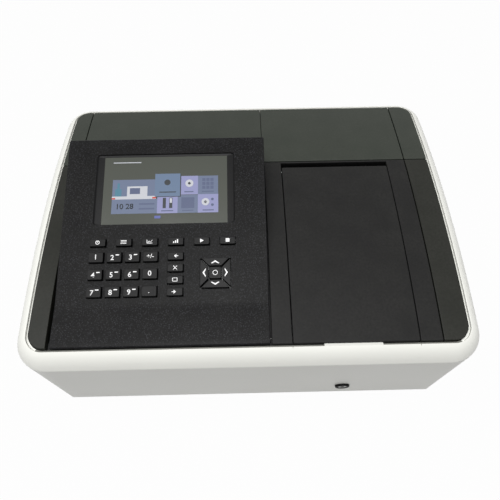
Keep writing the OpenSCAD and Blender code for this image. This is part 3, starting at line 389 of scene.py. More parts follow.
plastics = {
    "casingWhite": {"colour": paint(229, 229, 223), "roughness": 0.42, "grainScale": 1600.0, "grainTone": 0.06, "smudgeTone": 0.05,
                    "smudgeGloss": 0.12, "bump": 0.25, "bumpDepth": 0.05, "wear": 0.0, "wornColour": paint(240, 240, 236), "dust": 0.02},
    "trimCharcoal": {"colour": paint(30, 31, 27), "specular": 0.13, "roughness": 0.42, "grainScale": 1500.0, "grainTone": 0.3, "smudgeTone": 0.2,
                     "smudgeGloss": 0.15, "bump": 0.35, "bumpDepth": 0.06, "wear": 0.3, "wornColour": paint(95, 95, 90), "dust": 0.05},
    # the covers' own colour, also put on the rear trims as painted light
    "coverCharcoalAndPaintedLight": {"colour": paint(44, 48, 42), "specular": 0.18, "roughness": 0.5, "grainScale": 1300.0, "grainTone": 0.35, "smudgeTone": 0.2,
                      "smudgeGloss": 0.12, "bump": 0.4, "bumpDepth": 0.08, "wear": 0.3, "wornColour": paint(105, 107, 102), "dust": 0.05},
    "deckBlack": {"colour": paint(27, 27, 27), "specular": 0.09, "roughness": 0.5, "grainScale": 1200.0, "grainTone": 0.5, "smudgeTone": 0.15,
                  "smudgeGloss": 0.1, "bump": 0.5, "bumpDepth": 0.1, "wear": 0.3, "wornColour": paint(90, 90, 90), "dust": 0.04},
    "consoleBlack": {"colour": paint(10, 10, 11), "specular": 0.06, "roughness": 0.4, "grainScale": 1100.0, "grainTone": 2.4, "smudgeTone": 0.1,
                     "smudgeGloss": 0.08, "bump": 0.8, "bumpDepth": 0.18, "wear": 0.25, "wornColour": paint(80, 80, 84), "dust": 0.03,
                     "fleck": paint(66, 67, 71), "fleckScale": 620.0, "fleckCover": 0.44},
    "keyBlack": {"colour": paint(14, 14, 15), "specular": 0.1, "roughness": 0.4, "grainScale": 1800.0, "grainTone": 0.3, "smudgeTone": 0.2,
                 "smudgeGloss": 0.2, "bump": 0.3, "bumpDepth": 0.04, "wear": 0.4, "wornColour": paint(80, 80, 82), "dust": 0.02},
    # painted shade for the floor of the groove at the casing's front
    "rimPaintedShade": {"colour": paint(112, 112, 106), "specular": 0.2, "roughness": 0.6, "grainScale": 1600.0, "grainTone": 0.1, "smudgeTone": 0.1,
                "smudgeGloss": 0.1, "bump": 0.3, "bumpDepth": 0.04, "wear": 0.0, "wornColour": paint(150, 150, 146), "dust": 0.0},
    # painted shade on the key sides, and the matte black of the rod bush and the knob's sides
    "keySide": {"colour": paint(5, 5, 6), "specular": 0.08, "roughness": 0.5, "grainScale": 1800.0, "grainTone": 0.3, "smudgeTone": 0.2,
                "smudgeGloss": 0.1, "bump": 0.3, "bumpDepth": 0.04, "wear": 0.2, "wornColour": paint(60, 60, 62), "dust": 0.0},
    # painted shade on the walls of the display recess
    "recessPaintedShade": {"colour": paint(9, 9, 10), "specular": 0.12, "roughness": 0.4, "grainScale": 1200.0, "grainTone": 0.5, "smudgeTone": 0.2,
                    "smudgeGloss": 0.1, "bump": 0.4, "bumpDepth": 0.06, "wear": 0.3, "wornColour": paint(70, 70, 74), "dust": 0.0},
    "fittingBlack": {"colour": paint(24, 24, 24), "roughness": 0.38, "grainScale": 1400.0, "grainTone": 0.3, "smudgeTone": 0.2,
                     "smudgeGloss": 0.15, "bump": 0.3, "bumpDepth": 0.05, "wear": 0.4, "wornColour": paint(80, 80, 80), "dust": 0.04},
    # black of the bay liner, and painted shade on the casing's ledge and inside and on the strip under the gap
    "linerBlackAndPaintedShade": {"colour": paint(22, 22, 23), "roughness": 0.75, "grainScale": 900.0, "grainTone": 0.5, "smudgeTone": 0.2,
                   "smudgeGloss": 0.1, "bump": 0.6, "bumpDepth": 0.1, "wear": 0.2, "wornColour": paint(70, 70, 70), "dust": 0.06},
    "knobGrey": {"colour": paint(150, 150, 146), "roughness": 0.35, "grainScale": 1500.0, "grainTone": 0.2, "smudgeTone": 0.2,
                 "smudgeGloss": 0.15, "bump": 0.2, "bumpDepth": 0.03, "wear": 0.3, "wornColour": paint(200, 200, 196), "dust": 0.04},
    "footRubber": {"colour": paint(30, 30, 30), "roughness": 0.85, "grainScale": 800.0, "grainTone": 0.5, "smudgeTone": 0.3,
                   "smudgeGloss": 0.1, "bump": 0.5, "bumpDepth": 0.08, "wear": 0.2, "wornColour": paint(70, 70, 70), "dust": 0.2},
    "panPaint": {"colour": paint(140, 142, 140), "roughness": 0.5, "grainScale": 600.0, "grainTone": 0.3, "smudgeTone": 0.2,
                 "smudgeGloss": 0.15, "bump": 0.4, "bumpDepth": 0.06, "wear": 0.5, "wornColour": paint(190, 190, 190), "dust": 0.1},
    "anodisedBlack": {"colour": paint(38, 38, 41), "roughness": 0.34, "grainScale": 2200.0, "grainTone": 0.3, "smudgeTone": 0.15,
                      "smudgeGloss": 0.12, "bump": 0.2, "bumpDepth": 0.02, "wear": 0.6, "wornColour": paint(150, 150, 154), "dust": 0.03},
}
finish = {name: mouldedPlastic(name, spec) for name, spec in plastics.items()}
finish["steel"] = brushedMetal("steel", {"colour": paint(178, 180, 182), "roughness": 0.3, "stretch": (1, 1, 14), "lineScale": 260.0})
finish["castAlloy"] = brushedMetal("castAlloy", {"colour": paint(165, 167, 170), "roughness": 0.45, "stretch": (1, 1, 1), "lineScale": 500.0})
finish["mirrorSilver"] = brushedMetal("mirrorSilver", {"colour": paint(222, 226, 232), "roughness": 0.12, "stretch": (3, 3, 1), "lineScale": 90.0})
finish["brass"] = brushedMetal("brass", {"colour": paint(205, 170, 100), "roughness": 0.3, "stretch": (1, 14, 1), "lineScale": 300.0})
finish["boardGreen"] = solderMask("boardGreen", {"colour": paint(34, 92, 52), "trackColour": paint(70, 140, 84), "trackScale": 160.0})
finish["boardBlack"] = solderMask("boardBlack", {"colour": paint(16, 20, 18), "trackColour": paint(30, 34, 32), "trackScale": 160.0})
finish["lampGlass"] = clearGlass("lampGlass", {"colour": (0.95, 0.95, 0.92, 1)})
finish["legendWhite"] = printedInk("legendWhite", {"colour": paint(236, 236, 236), "roughness": 0.5})
screenInks = {
    "screenField": (60, 63, 56),
    "screenBlueTile": (93, 103, 126),
    "screenLavenderTile": (128, 130, 166),
    "screenRaisedTile": (91, 108, 132),
    "screenPale": (176, 178, 184),
    "screenTeal": (68, 112, 130),
    "screenDark": (44, 48, 52),
    "screenShade": (78, 86, 112),
    "screenRed": (176, 62, 52),
    "screenGlow": (84, 92, 150),
}
for name, tint in screenInks.items():
    finish[name] = printedInk(name, {"colour": paint(*tint), "roughness": 0.4, "specular": 0.2, "coat": 0.12, "grainTone": 0.12})
print("materials made:", len(finish))


# ---- mesh helpers


def newPiece(name, mesh, material, body):
    piece = bpy.data.objects.new(name, mesh)
    bpy.context.collection.objects.link(piece)
    mesh.materials.append(finish[material])
    if body:
        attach(piece, body)
    return piece


def smooth(mesh, degrees=35):
    mesh.shade_smooth()
    mesh.set_sharp_from_angle(angle=math.radians(degrees))


def evenNormals(piece):
    even = piece.modifiers.new("evenNormals", "WEIGHTED_NORMAL")
    even.keep_sharp = True
    even.weight = 90


def settle(piece, degrees=35):  # puts the modifiers' result into the mesh
    graph = bpy.context.evaluated_depsgraph_get()
    result = bpy.data.meshes.new_from_object(piece.evaluated_get(graph))
    old = piece.data
    piece.modifiers.clear()
    piece.data = result
    bpy.data.meshes.remove(old)
    smooth(piece.data, degrees)


def insetOutline(points, distance):  # moves every side of a closed outline inwards by the same distance
    count = len(points)
    moved = []
    for i in range(count):
        before, here, after = (Vector(points[(i + k) % count]) for k in (-1, 0, 1))
        a, b = (here - before).normalized(), (after - here).normalized()
        normalA, normalB = Vector((-a.y, a.x)), Vector((-b.y, b.x))
        share = 1 + normalA.dot(normalB)
        moved.append(tuple(here + (normalA + normalB) * (distance / share)))
    return moved


def arcPoints(centre, radius, start, end, steps):
    return [(centre[0] + radius * math.cos(math.radians(start + (end - start) * k / steps)),
             centre[1] + radius * math.sin(math.radians(start + (end - start) * k / steps))) for k in range(steps + 1)]


def roundedOutline(x0, x1, y0, y1, radii, steps=8):  # radii: front left, front right, rear right, rear left
    corners = [((x0, y0), 180, 1, 1), ((x1, y0), 270, -1, 1), ((x1, y1), 0, -1, -1), ((x0, y1), 90, 1, -1)]
    outline = []
    for ((x, y), start, sx, sy), r in zip(corners, radii):
        outline += arcPoints((x + sx * r, y + sy * r), r, start, start + 90, steps if steps != 8 or r > 2 * mm else 3)
    return outline


def loft(rings, closeTop=True, closeBottom=True):  # quads between rings of equal length
    verts, faces = [], []
    count = len(rings[0])
    for ring in rings:
        verts += ring
    for i in range(len(rings) - 1):
        for j in range(count):
            k = (j + 1) % count
            faces.append((i * count + j, i * count + k, (i + 1) * count + k, (i + 1) * count + j))
    if closeTop:
        faces.append(tuple(range((len(rings) - 1) * count, len(rings) * count)))
    if closeBottom:
        faces.append(tuple(reversed(range(count))))
    return verts, faces


def meshOf(name, verts, faces):
    mesh = bpy.data.meshes.new(name)
    mesh.from_pydata([tuple(v) for v in verts], [], faces)
    mesh.validate()
    return mesh


def boxCutter(x0, x1, y0, y1, z0, z1, turn=None):
    corners = [Vector((x, y, z)) for z in (z0, z1) for x, y in ((x0, y0), (x1, y0), (x1, y1), (x0, y1))]
    if turn:
        corners = [turn @ c for c in corners]
    return meshOf("cutter", corners, [(3, 2, 1, 0), (4, 5, 6, 7), (0, 1, 5, 4), (1, 2, 6, 5), (2, 3, 7, 6), (3, 0, 4, 7)])


def roundCutter(x, z, radius, y0, y1, steps=48):
    rings = [[Vector((x + radius * math.cos(2 * math.pi * k / steps), y, z + radius * math.sin(2 * math.pi * k / steps)))
              for k in range(steps)] for y in (y1, y0)]
    return meshOf("cutter", *loft(rings))


def cut(piece, cutters):
    joined = bmesh.new()
    for mesh in cutters:
        joined.from_mesh(mesh)
        bpy.data.meshes.remove(mesh)
    whole = bpy.data.meshes.new("cutters")
    joined.to_mesh(whole)
    joined.free()
    tool = bpy.data.objects.new("cutters", whole)
    bpy.context.collection.objects.link(tool)
    away = piece.modifiers.new("cut", "BOOLEAN")
    away.operation = "DIFFERENCE"
    away.solver = "EXACT"
    away.use_self = True
    away.object = tool
    settle(piece)
    bpy.data.objects.remove(tool)
    bpy.data.meshes.remove(whole)


# ---- casing

deckShape = {
    "crownRadius": 1090 * mm,
    "crownOffset": 54 * mm,  # the highest line lies this far in front of the middle
    "shoulder": 17.5 * mm,
    "shoulderDrop": 18.2 * mm,
    "creaseRadius": 33 * mm,
    "plate": 3 * mm,
    "skirt": 8 * mm,
    "edge": 0.7 * mm,  # rounding of the plates' upper edges
}
casingLow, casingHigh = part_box("casing")
halfWidth, halfDepth = casingHigh.x, casingHigh.y
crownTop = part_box("sample_lid")[1].z
deckX, deckY = halfWidth - deckShape["shoulder"], halfDepth - deckShape["shoulder"]


def crown(y, drop=0.0):
    radius = deckShape["crownRadius"]
    reach = y + deckShape["crownOffset"]
    return crownTop - radius + math.sqrt((radius - drop) ** 2 - reach ** 2)


lidGap = 0.85 * mm

casingSpec = {
    "sideDraft": 7.4 * mm,
    "frontDraft": 5 * mm,
    "baseRadius": 4 * mm,
    "wall": 3 * mm,
    "cornerSteps": 14,
    "sideSteps": 26,
    "shoulderSteps": 14,
    "creaseEdge": 0.5 * mm,
    "groove": 4.6 * mm,
    "paintedShadeRing": 23,
    "scoop": (30.5 * mm, 88 * mm, 4.6 * mm),  # from, to and depth, measured from the lid's left edge
}


def casingRing(hx, hy, radius, zOf):
    steps, along = casingSpec["cornerSteps"], casingSpec["sideSteps"]
    ring = []
    for cx, cy, start in ((1, 1, 0), (-1, 1, 90), (-1, -1, 180), (1, -1, 270)):
        ring += arcPoints((cx * (hx - radius), cy * (hy - radius)), radius, start, start + 90, steps)
        a = Vector(ring[-1])
        nextStart = start + 90
        nx, ny = (cx * -1, cy) if start % 180 == 0 else (cx, cy * -1)
        b = Vector(arcPoints((nx * (hx - radius), ny * (hy - radius)), radius, nextStart, nextStart, 1)[0])
        ring += [tuple(a.lerp(b, k / along)) for k in range(1, along)]
    return [Vector((x, y, zOf(y))) for x, y in ring]


def crownRing(inset, drop):
    return casingRing(halfWidth - inset, halfDepth - inset, deckShape["creaseRadius"] - inset, lambda y: crown(y, drop))


def baseRing(inset, rise=0.0):
    hx, hy = halfWidth - casingSpec["sideDraft"] - inset, halfDepth - casingSpec["frontDraft"] - inset
    return casingRing(hx, hy, casingSpec["baseRadius"] - inset, lambda y: casingLow.z + rise)


def shoulderPoint(t):  # quadratic curve from the crease to the crest
    width, drop = deckShape["shoulder"] - 3.5 * mm, deckShape["shoulderDrop"]
    a, b, c = (1 - t) ** 2, 2 * t * (1 - t), t ** 2
    return b * 5.5 * mm + c * width, a * drop + b * 4.6 * mm + c * 1.1 * mm


def wallRing(share, inset=0.0):  # between the base and the crease
    low, high = baseRing(inset), crownRing(inset, deckShape["shoulderDrop"])
    return [a.lerp(b, share) for a, b in zip(low, high)]


def makeCasing(spec):
    s, edge = deckShape["shoulder"], spec["creaseEdge"]
    rings = [baseRing(0.6 * mm), baseRing(0.0, 0.6 * mm), wallRing(0.5), wallRing(1 - 0.006)]
    for k in range(1, spec["shoulderSteps"] + 1):
        rings.append(crownRing(*shoulderPoint(k / spec["shoulderSteps"])))
    rings.insert(4, crownRing(0.12 * mm, deckShape["shoulderDrop"] - edge))
    for inset, drop in ((s - 3.1 * mm, 1.2 * mm), (s - 2.85 * mm, 1.5 * mm), (s - 2.8 * mm, spec["groove"]), (s - 0.7 * mm, spec["groove"]),
                        (s - 0.5 * mm, deckShape["skirt"]), (s + 7.5 * mm, deckShape["skirt"]),
                        (s + 7.5 * mm, deckShape["skirt"] + 3 * mm), (s - 5.5 * mm, deckShape["skirt"] + 3 * mm),
                        (spec["wall"], deckShape["shoulderDrop"] + 3 * mm)):
        rings.append(crownRing(inset, drop))
    rings.append(baseRing(spec["wall"]))
    verts, faces = loft(rings + [rings[0]], False, False)
    last = len(rings) * len(rings[0])
    faces = [tuple(i if i < last else i - last for i in face) for face in faces]
    mesh = meshOf("casingShell", verts[:last], faces)
    casing = newPiece("casingShell", mesh, "casingWhite", "housing")
    mesh.materials.append(finish["linerBlackAndPaintedShade"])
    count = len(rings[0])
    for k in range(spec["paintedShadeRing"] * count, (spec["paintedShadeRing"] + 5) * count):
        mesh.polygons[k].material_index = 1  # painted shade: the ledge under the plates and the casing's inner faces are made dark
    mesh.materials.append(finish["rimPaintedShade"])
    for k in range((spec["paintedShadeRing"] - 2) * count, spec["paintedShadeRing"] * count):
        if mesh.polygons[k].center.y < -deckY:
            mesh.polygons[k].material_index = 2  # painted shade on the floor and inner wall of the groove at the front
    lidLow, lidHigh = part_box("sample_lid")
    left, right, depth = spec["scoop"]
    ramp = [(s - 3.3 * mm, 1.25 * mm), (s - 0.1 * mm, 0.62 * depth), (s - 0.1 * mm, depth + 0.3 * mm), (s - 3.3 * mm, depth + 0.3 * mm)]
    profile = [(inset - halfDepth, crown(inset - halfDepth, drop)) for inset, drop in ramp]
    scoop = newPiece("fingerScoop", meshOf("fingerScoop", *loft([[(lidLow.x + x, y, z) for y, z in profile] for x in (left, right)])),
                     "casingWhite", "housing")
    cutters = []
    for x in (lidLow.x - lidGap, lidHigh.x):
        cutters.append(boxCutter(x, x + lidGap, -deckY - 4.6 * mm, -deckY + mm, crown(-deckY) - 3.6 * mm, crownTop))
    bushLow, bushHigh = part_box("rod_bush")
    bushX, bushZ = (bushLow.x + bushHigh.x) / 2, (bushLow.z + bushHigh.z) / 2
    cutters.append(roundCutter(bushX, bushZ, 7.3 * mm, -halfDepth - mm, -halfDepth + 30 * mm))
    cutters.append(roundCutter(bushX, bushZ, 8.7 * mm, -halfDepth - mm, bushLow.y + 3 * mm))
    inletLow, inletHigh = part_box("power_inlet")
    cutters.append(boxCutter(inletLow.x - 0.2 * mm, inletHigh.x + 0.2 * mm, inletHigh.y - 2 * mm, halfDepth + mm,
                             inletLow.z - 0.2 * mm, inletHigh.z + 0.2 * mm))
    cutters.append(boxCutter(inletLow.x + 8 * mm, inletHigh.x - 8 * mm, halfDepth - 20 * mm, halfDepth, inletLow.z + 3 * mm,
                             inletHigh.z - 3 * mm))
    cut(casing, cutters)
    cut(casing, rearCutters() + sideCutters())
    evenNormals(casing)
    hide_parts("casing")


def rearCutters():  # fan grille and data sockets
    fanLow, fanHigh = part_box("fan_frame")
    x, z = (fanLow.x + fanHigh.x) / 2, (fanLow.z + fanHigh.z) / 2
    reach = (fanHigh.x - fanLow.x) / 2 - 2.5 * mm
    pitch = (fanHigh.x - fanLow.x) / 6
    cutters = []
    for i in range(-3, 3):
        low, high = z + i * pitch + 1.2 * mm, z + (i + 1) * pitch - 1.2 * mm
        for side in (-1, 1):
            cutters.append(grilleSlot(x, z, reach, 10 * mm, low, high, side, fanHigh.y - 3 * mm, halfDepth + mm))
    board = nodes["main_board"]
    tall = [v.co for v in board.data.vertices if v.co.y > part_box("main_board")[1].y - 0.1 * mm]
    low = Vector((min(c.x for c in tall), 0, min(c.z for c in tall)))
    floorZ = sorted({round(c.z, 5) for c in tall})[1]
    for x0, x1, height in ((low.x + 0.5 * mm, low.x + 12.5 * mm, 11 * mm), (low.x + 12 * mm, low.x + 28 * mm, 13.5 * mm)):
        cutters.append(boxCutter(x0 - 0.2 * mm, x1 + 0.2 * mm, fanHigh.y - 8 * mm, halfDepth + mm, floorZ - 0.2 * mm,
                                 floorZ + height + 0.2 * mm))
    return cutters


def grilleSlot(x, z, outer, inner, low, high, side, y0, y1):  # one opening between two bars, left or right of the hub
    steps = 8
    outline = []
    for k in range(steps + 1):
        h = low + (high - low) * k / steps - z
        outline.append((math.sqrt(max(outer ** 2 - h ** 2, 0)), h + z))
    for k in range(steps + 1):
        h = high + (low - high) * k / steps - z
        outline.append((math.sqrt(max(inner ** 2 - h ** 2, 0)) + (0.6 * mm), h + z))
    points = [(x + side * across, height) for across, height in outline]
    if side < 0:
        points.reverse()
    rings = [[Vector((px, y, pz)) for px, pz in points] for y in (y1, y0)]
    return meshOf("cutter", *loft(rings))


def sideCutters():
    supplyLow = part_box("power_supply")[0]
    cutters = []
    for i in range(7):
        y = supplyLow.y + 22 * mm + i * 8 * mm
        for side in (-1, 1):
            x0, x1 = sorted((side * (halfWidth - 15 * mm), side * (halfWidth + mm)))
            cutters.append(boxCutter(x0, x1, y, y + 3 * mm, casingLow.z + 34 * mm, casingLow.z + 64 * mm))
    return cutters


makeCasing(casingSpec)
print("casing made")


# ---- deck plates


def bend(mesh, step=9 * mm):  # cuts a flat plate into strips and lowers each point to the crown
    shape = bmesh.new()
    shape.from_mesh(mesh)
    low = min(v.co.y for v in shape.verts)
    high = max(v.co.y for v in shape.verts)
    y = low + step
    while y < high - 2 * mm:
        bmesh.ops.bisect_plane(shape, geom=shape.verts[:] + shape.edges[:] + shape.faces[:], plane_co=(0, y, 0),
                               plane_no=(0, 1, 0), dist=1e-6)
        y += step
    for vert in shape.verts:
        vert.co.z = crown(vert.co.y, -vert.co.z)
    shape.to_mesh(mesh)
    shape.free()


def plateMesh(name, outline, skirt, plate, wall):  # crowned tray, open side down, with rounded upper edges
    edge = deckShape["edge"]
    rings = [[(x, y, -skirt) for x, y in outline]]
    for k in range(4):
        angle = math.radians(30 * k)
        ring = insetOutline(outline, edge * (1 - math.cos(angle)))
        rings.append([(x, y, -edge + edge * math.sin(angle)) for x, y in ring])
    inner = insetOutline(outline, wall)
    rings = [[(x, y, -plate) for x, y in inner], [(x, y, -skirt) for x, y in inner]] + rings
    mesh = meshOf(name, *loft(rings))
    bend(mesh)
    smooth(mesh)
    return mesh


def makePlate(name, outline, material, body, skirt=None):
    mesh = plateMesh(name, outline, skirt or deckShape["skirt"], deckShape["plate"], 1.8 * mm)
    piece = newPiece(name, mesh, material, body)
    evenNormals(piece)
    return piece


def makeDeck():
    corner = deckShape["creaseRadius"] - deckShape["shoulder"]
    small = 0.8 * mm
    trimLow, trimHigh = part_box("side_trims")
    frameLow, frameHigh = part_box("bay_frame")
    coverLow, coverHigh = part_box("rear_covers")
    consoleLow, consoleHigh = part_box("console")
    lidLow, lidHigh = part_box("sample_lid")
    seamFront, seamRear = frameHigh.y, coverLow.y
    leftEdge, rightEdge = coverLow.x - 1 * mm, coverHigh.x + 1.1 * mm
    trims = {
        "trimLeftFront": (roundedOutline(trimLow.x, leftEdge, -deckY, seamFront, (corner, small, small, small))),
        "trimLeftRear": (roundedOutline(trimLow.x, leftEdge, seamRear, deckY, (small, small, small, corner))),
        "trimRightFront": (roundedOutline(rightEdge, trimHigh.x, -deckY, seamFront, (small, corner, small, small))),
        "trimRightRear": (roundedOutline(rightEdge, trimHigh.x, seamRear, deckY, (small, small, corner, small))),
    }
    for name, outline in trims.items():
        # painted light: the rear trims take the lighter cover material, so the trims get lighter towards the back
        trim = makePlate(name, outline, "coverCharcoalAndPaintedLight" if "Rear" in name else "trimCharcoal", "housing")
        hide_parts("side_trims")
    split = consoleHigh.x
    for name, x0, x1 in (("coverLeft", coverLow.x, split - 0.2 * mm), ("coverRight", split + 0.2 * mm, coverHigh.x)):
        cover = makePlate(name, roundedOutline(x0, x1, seamRear, deckY, (small,) * 4), "coverCharcoalAndPaintedLight", "housing")
        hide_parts("rear_covers")
    gap = lidGap
    openBack = seamFront - 2.2 * mm
    outline = [(frameLow.x, -deckY), (lidLow.x - gap, -deckY), (lidLow.x - gap, openBack), (lidHigh.x + gap, openBack),
               (lidHigh.x + gap, -deckY), (frameHigh.x, -deckY), (frameHigh.x, seamFront), (frameLow.x, seamFront)]
    bayFrame = makePlate("bayFrame", outline, "deckBlack", "housing")
    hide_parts("bay_frame")
    makeHingeEars(lidLow, lidHigh, gap)
    lidBack = seamFront - 9.1 * mm
    lid = makePlate("lidPlate", roundedOutline(lidLow.x, lidHigh.x, -deckY, lidBack, (1.2 * mm,) * 4), "deckBlack", "lid", 6 * mm)
    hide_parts("sample_lid")
    makeLidInside(lidLow, lidHigh)
    front, low = -deckY + deckShape["skirt"], deckShape["skirt"]
    mesh = barMesh(consoleHigh.x - 3 * mm, frameLow.x + 3 * mm, front, seamFront, -low - 1.6 * mm, -low - 0.1 * mm, 0.3 * mm)
    bend(mesh)
    shadeStrip = newPiece("gapShadeStrip", mesh, "linerBlackAndPaintedShade", "housing")  # dark strip under the gap beside the console, painted shade


def barMesh(x0, x1, y0, y1, z0, z1, edge=0.5 * mm):  # block with rounded corners and softened rims
    outline = roundedOutline(x0, x1, y0, y1, (edge * 1.5,) * 4)
    rings = []
    for inset, z in ((edge, z0), (edge * 0.3, z0 + edge * 0.3), (0, z0 + edge), (0, z1 - edge), (edge * 0.3, z1 - edge * 0.3), (edge, z1)):
        rings.append([(x, y, z) for x, y in insetOutline(outline, inset)])
    mesh = meshOf("bar", *loft(rings))
    smooth(mesh, 50)
    return mesh


def spun(profile, axis, centre, steps=48):  # profile: distance along the axis and radius, closed at both ends
    turnAxis = {"x": (1, 2, 0), "y": (0, 2, 1), "z": (0, 1, 2)}[axis]
    rings = []
    for along, radius in profile:
        ring = []
        for k in range(steps):
            angle = 2 * math.pi * k / steps * (-1 if axis == "y" else 1)
            point = [0, 0, 0]
            point[turnAxis[0]] = centre[turnAxis[0]] + radius * math.cos(angle)
            point[turnAxis[1]] = centre[turnAxis[1]] + radius * math.sin(angle)
            point[turnAxis[2]] = along
            ring.append(tuple(point))
        rings.append(ring)
    mesh = meshOf("spun", *loft(rings))
    smooth(mesh, 40)
    return mesh


def makeHingeEars(lidLow, lidHigh, gap):
    pinLow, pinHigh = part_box("hinge_pins")
    y, z = (pinLow.y + pinHigh.y) / 2, (pinLow.z + pinHigh.z) / 2
    for name, x0 in (("hingeEarLeft", pinLow.x), ("hingeEarRight", lidHigh.x + gap)):
        mesh = barMesh(x0, x0 + 8 * mm, y - 5.5 * mm, y + 5.5 * mm, z - 5.5 * mm, crown(y, deckShape["plate"]) + 0.3 * mm)
        ear = newPiece(name, mesh, "deckBlack", "housing")
        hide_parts("bay_frame")


def makeLidInside(lidLow, lidHigh):  # light-trap rim and the two hinge knuckles
    pinLow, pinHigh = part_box("hinge_pins")
    y, z = (pinLow.y + pinHigh.y) / 2, (pinLow.z + pinHigh.z) / 2
    for name, x0 in (("knuckleLeft", lidLow.x), ("knuckleRight", lidHigh.x - 8 * mm)):
        e = 0.5 * mm
        profile = [(x0, 2.2 * mm), (x0, 5.5 * mm - e), (x0 + 0.3 * e, 5.5 * mm - 0.3 * e), (x0 + e, 5.5 * mm),
                   (x0 + 8 * mm - e, 5.5 * mm), (x0 + 8 * mm - 0.3 * e, 5.5 * mm - 0.3 * e), (x0 + 8 * mm, 5.5 * mm - e),
                   (x0 + 8 * mm, 2.2 * mm)]
        knuckle = newPiece(name, spun(profile, "x", (0, y, z)), "deckBlack", "lid")
        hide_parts("sample_lid")
    linerLow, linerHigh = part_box("bay_liner")
    inset, wall = 5 * mm, 1.8 * mm
    outline = roundedOutline(linerLow.x + inset, linerHigh.x - inset, linerLow.y + inset, linerHigh.y - inset, (2.5 * mm,) * 4)
    inner = insetOutline(outline, wall)
    top, low = 2.6 * mm, 12 * mm
    rings = [[(x, y, -top) for x, y in inner], [(x, y, -low + 0.4 * mm) for x, y in inner],
             [(x, y, -low) for x, y in insetOutline(outline, wall - 0.4 * mm)],
             [(x, y, -low) for x, y in insetOutline(outline, 0.4 * mm)],
             [(x, y, -low + 0.4 * mm) for x, y in outline], [(x, y, -top) for x, y in outline]]
    verts, faces = loft(rings + [rings[0]], False, False)
    last = len(rings) * len(rings[0])
    mesh = meshOf("lidRim", verts[:last], [tuple(i if i < last else i - last for i in face) for face in faces])
    bend(mesh)
    smooth(mesh)
    rim = newPiece("lidRim", mesh, "deckBlack", "lid")
    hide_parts("sample_lid")


makeDeck()
print("deck made")


# ---- console

consoleSpec = {
    "tilt": 11.9,
    "fold": 41.9 * mm,  # from the deck's front edge to the fold
    "edge": 1.1 * mm,
    "shell": 2.4 * mm,
    "keyGap": 0.55 * mm,
    "glass": (40.4 * mm, 86.8 * mm, 134.6 * mm, 79 * mm),  # from the left, up the slope, width, length
    "bevelSide": 7.6 * mm,
    "bevelBack": 2.4 * mm,
}
consoleLow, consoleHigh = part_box("console")
foldY = -deckY + consoleSpec["fold"]
slopeTurn = Matrix.Translation((0, foldY, crown(foldY))) @ Matrix.Rotation(math.radians(consoleSpec["tilt"]), 4, "X")
slopeInverse = slopeTurn.inverted()


def onSlope(x, up, out=0.0):  # a place on the console: across, up the slope, out of it
    return slopeTurn @ Vector((x, up, out))


def slopeZ(y):
    return crown(foldY) + (y - foldY) * math.tan(math.radians(consoleSpec["tilt"]))


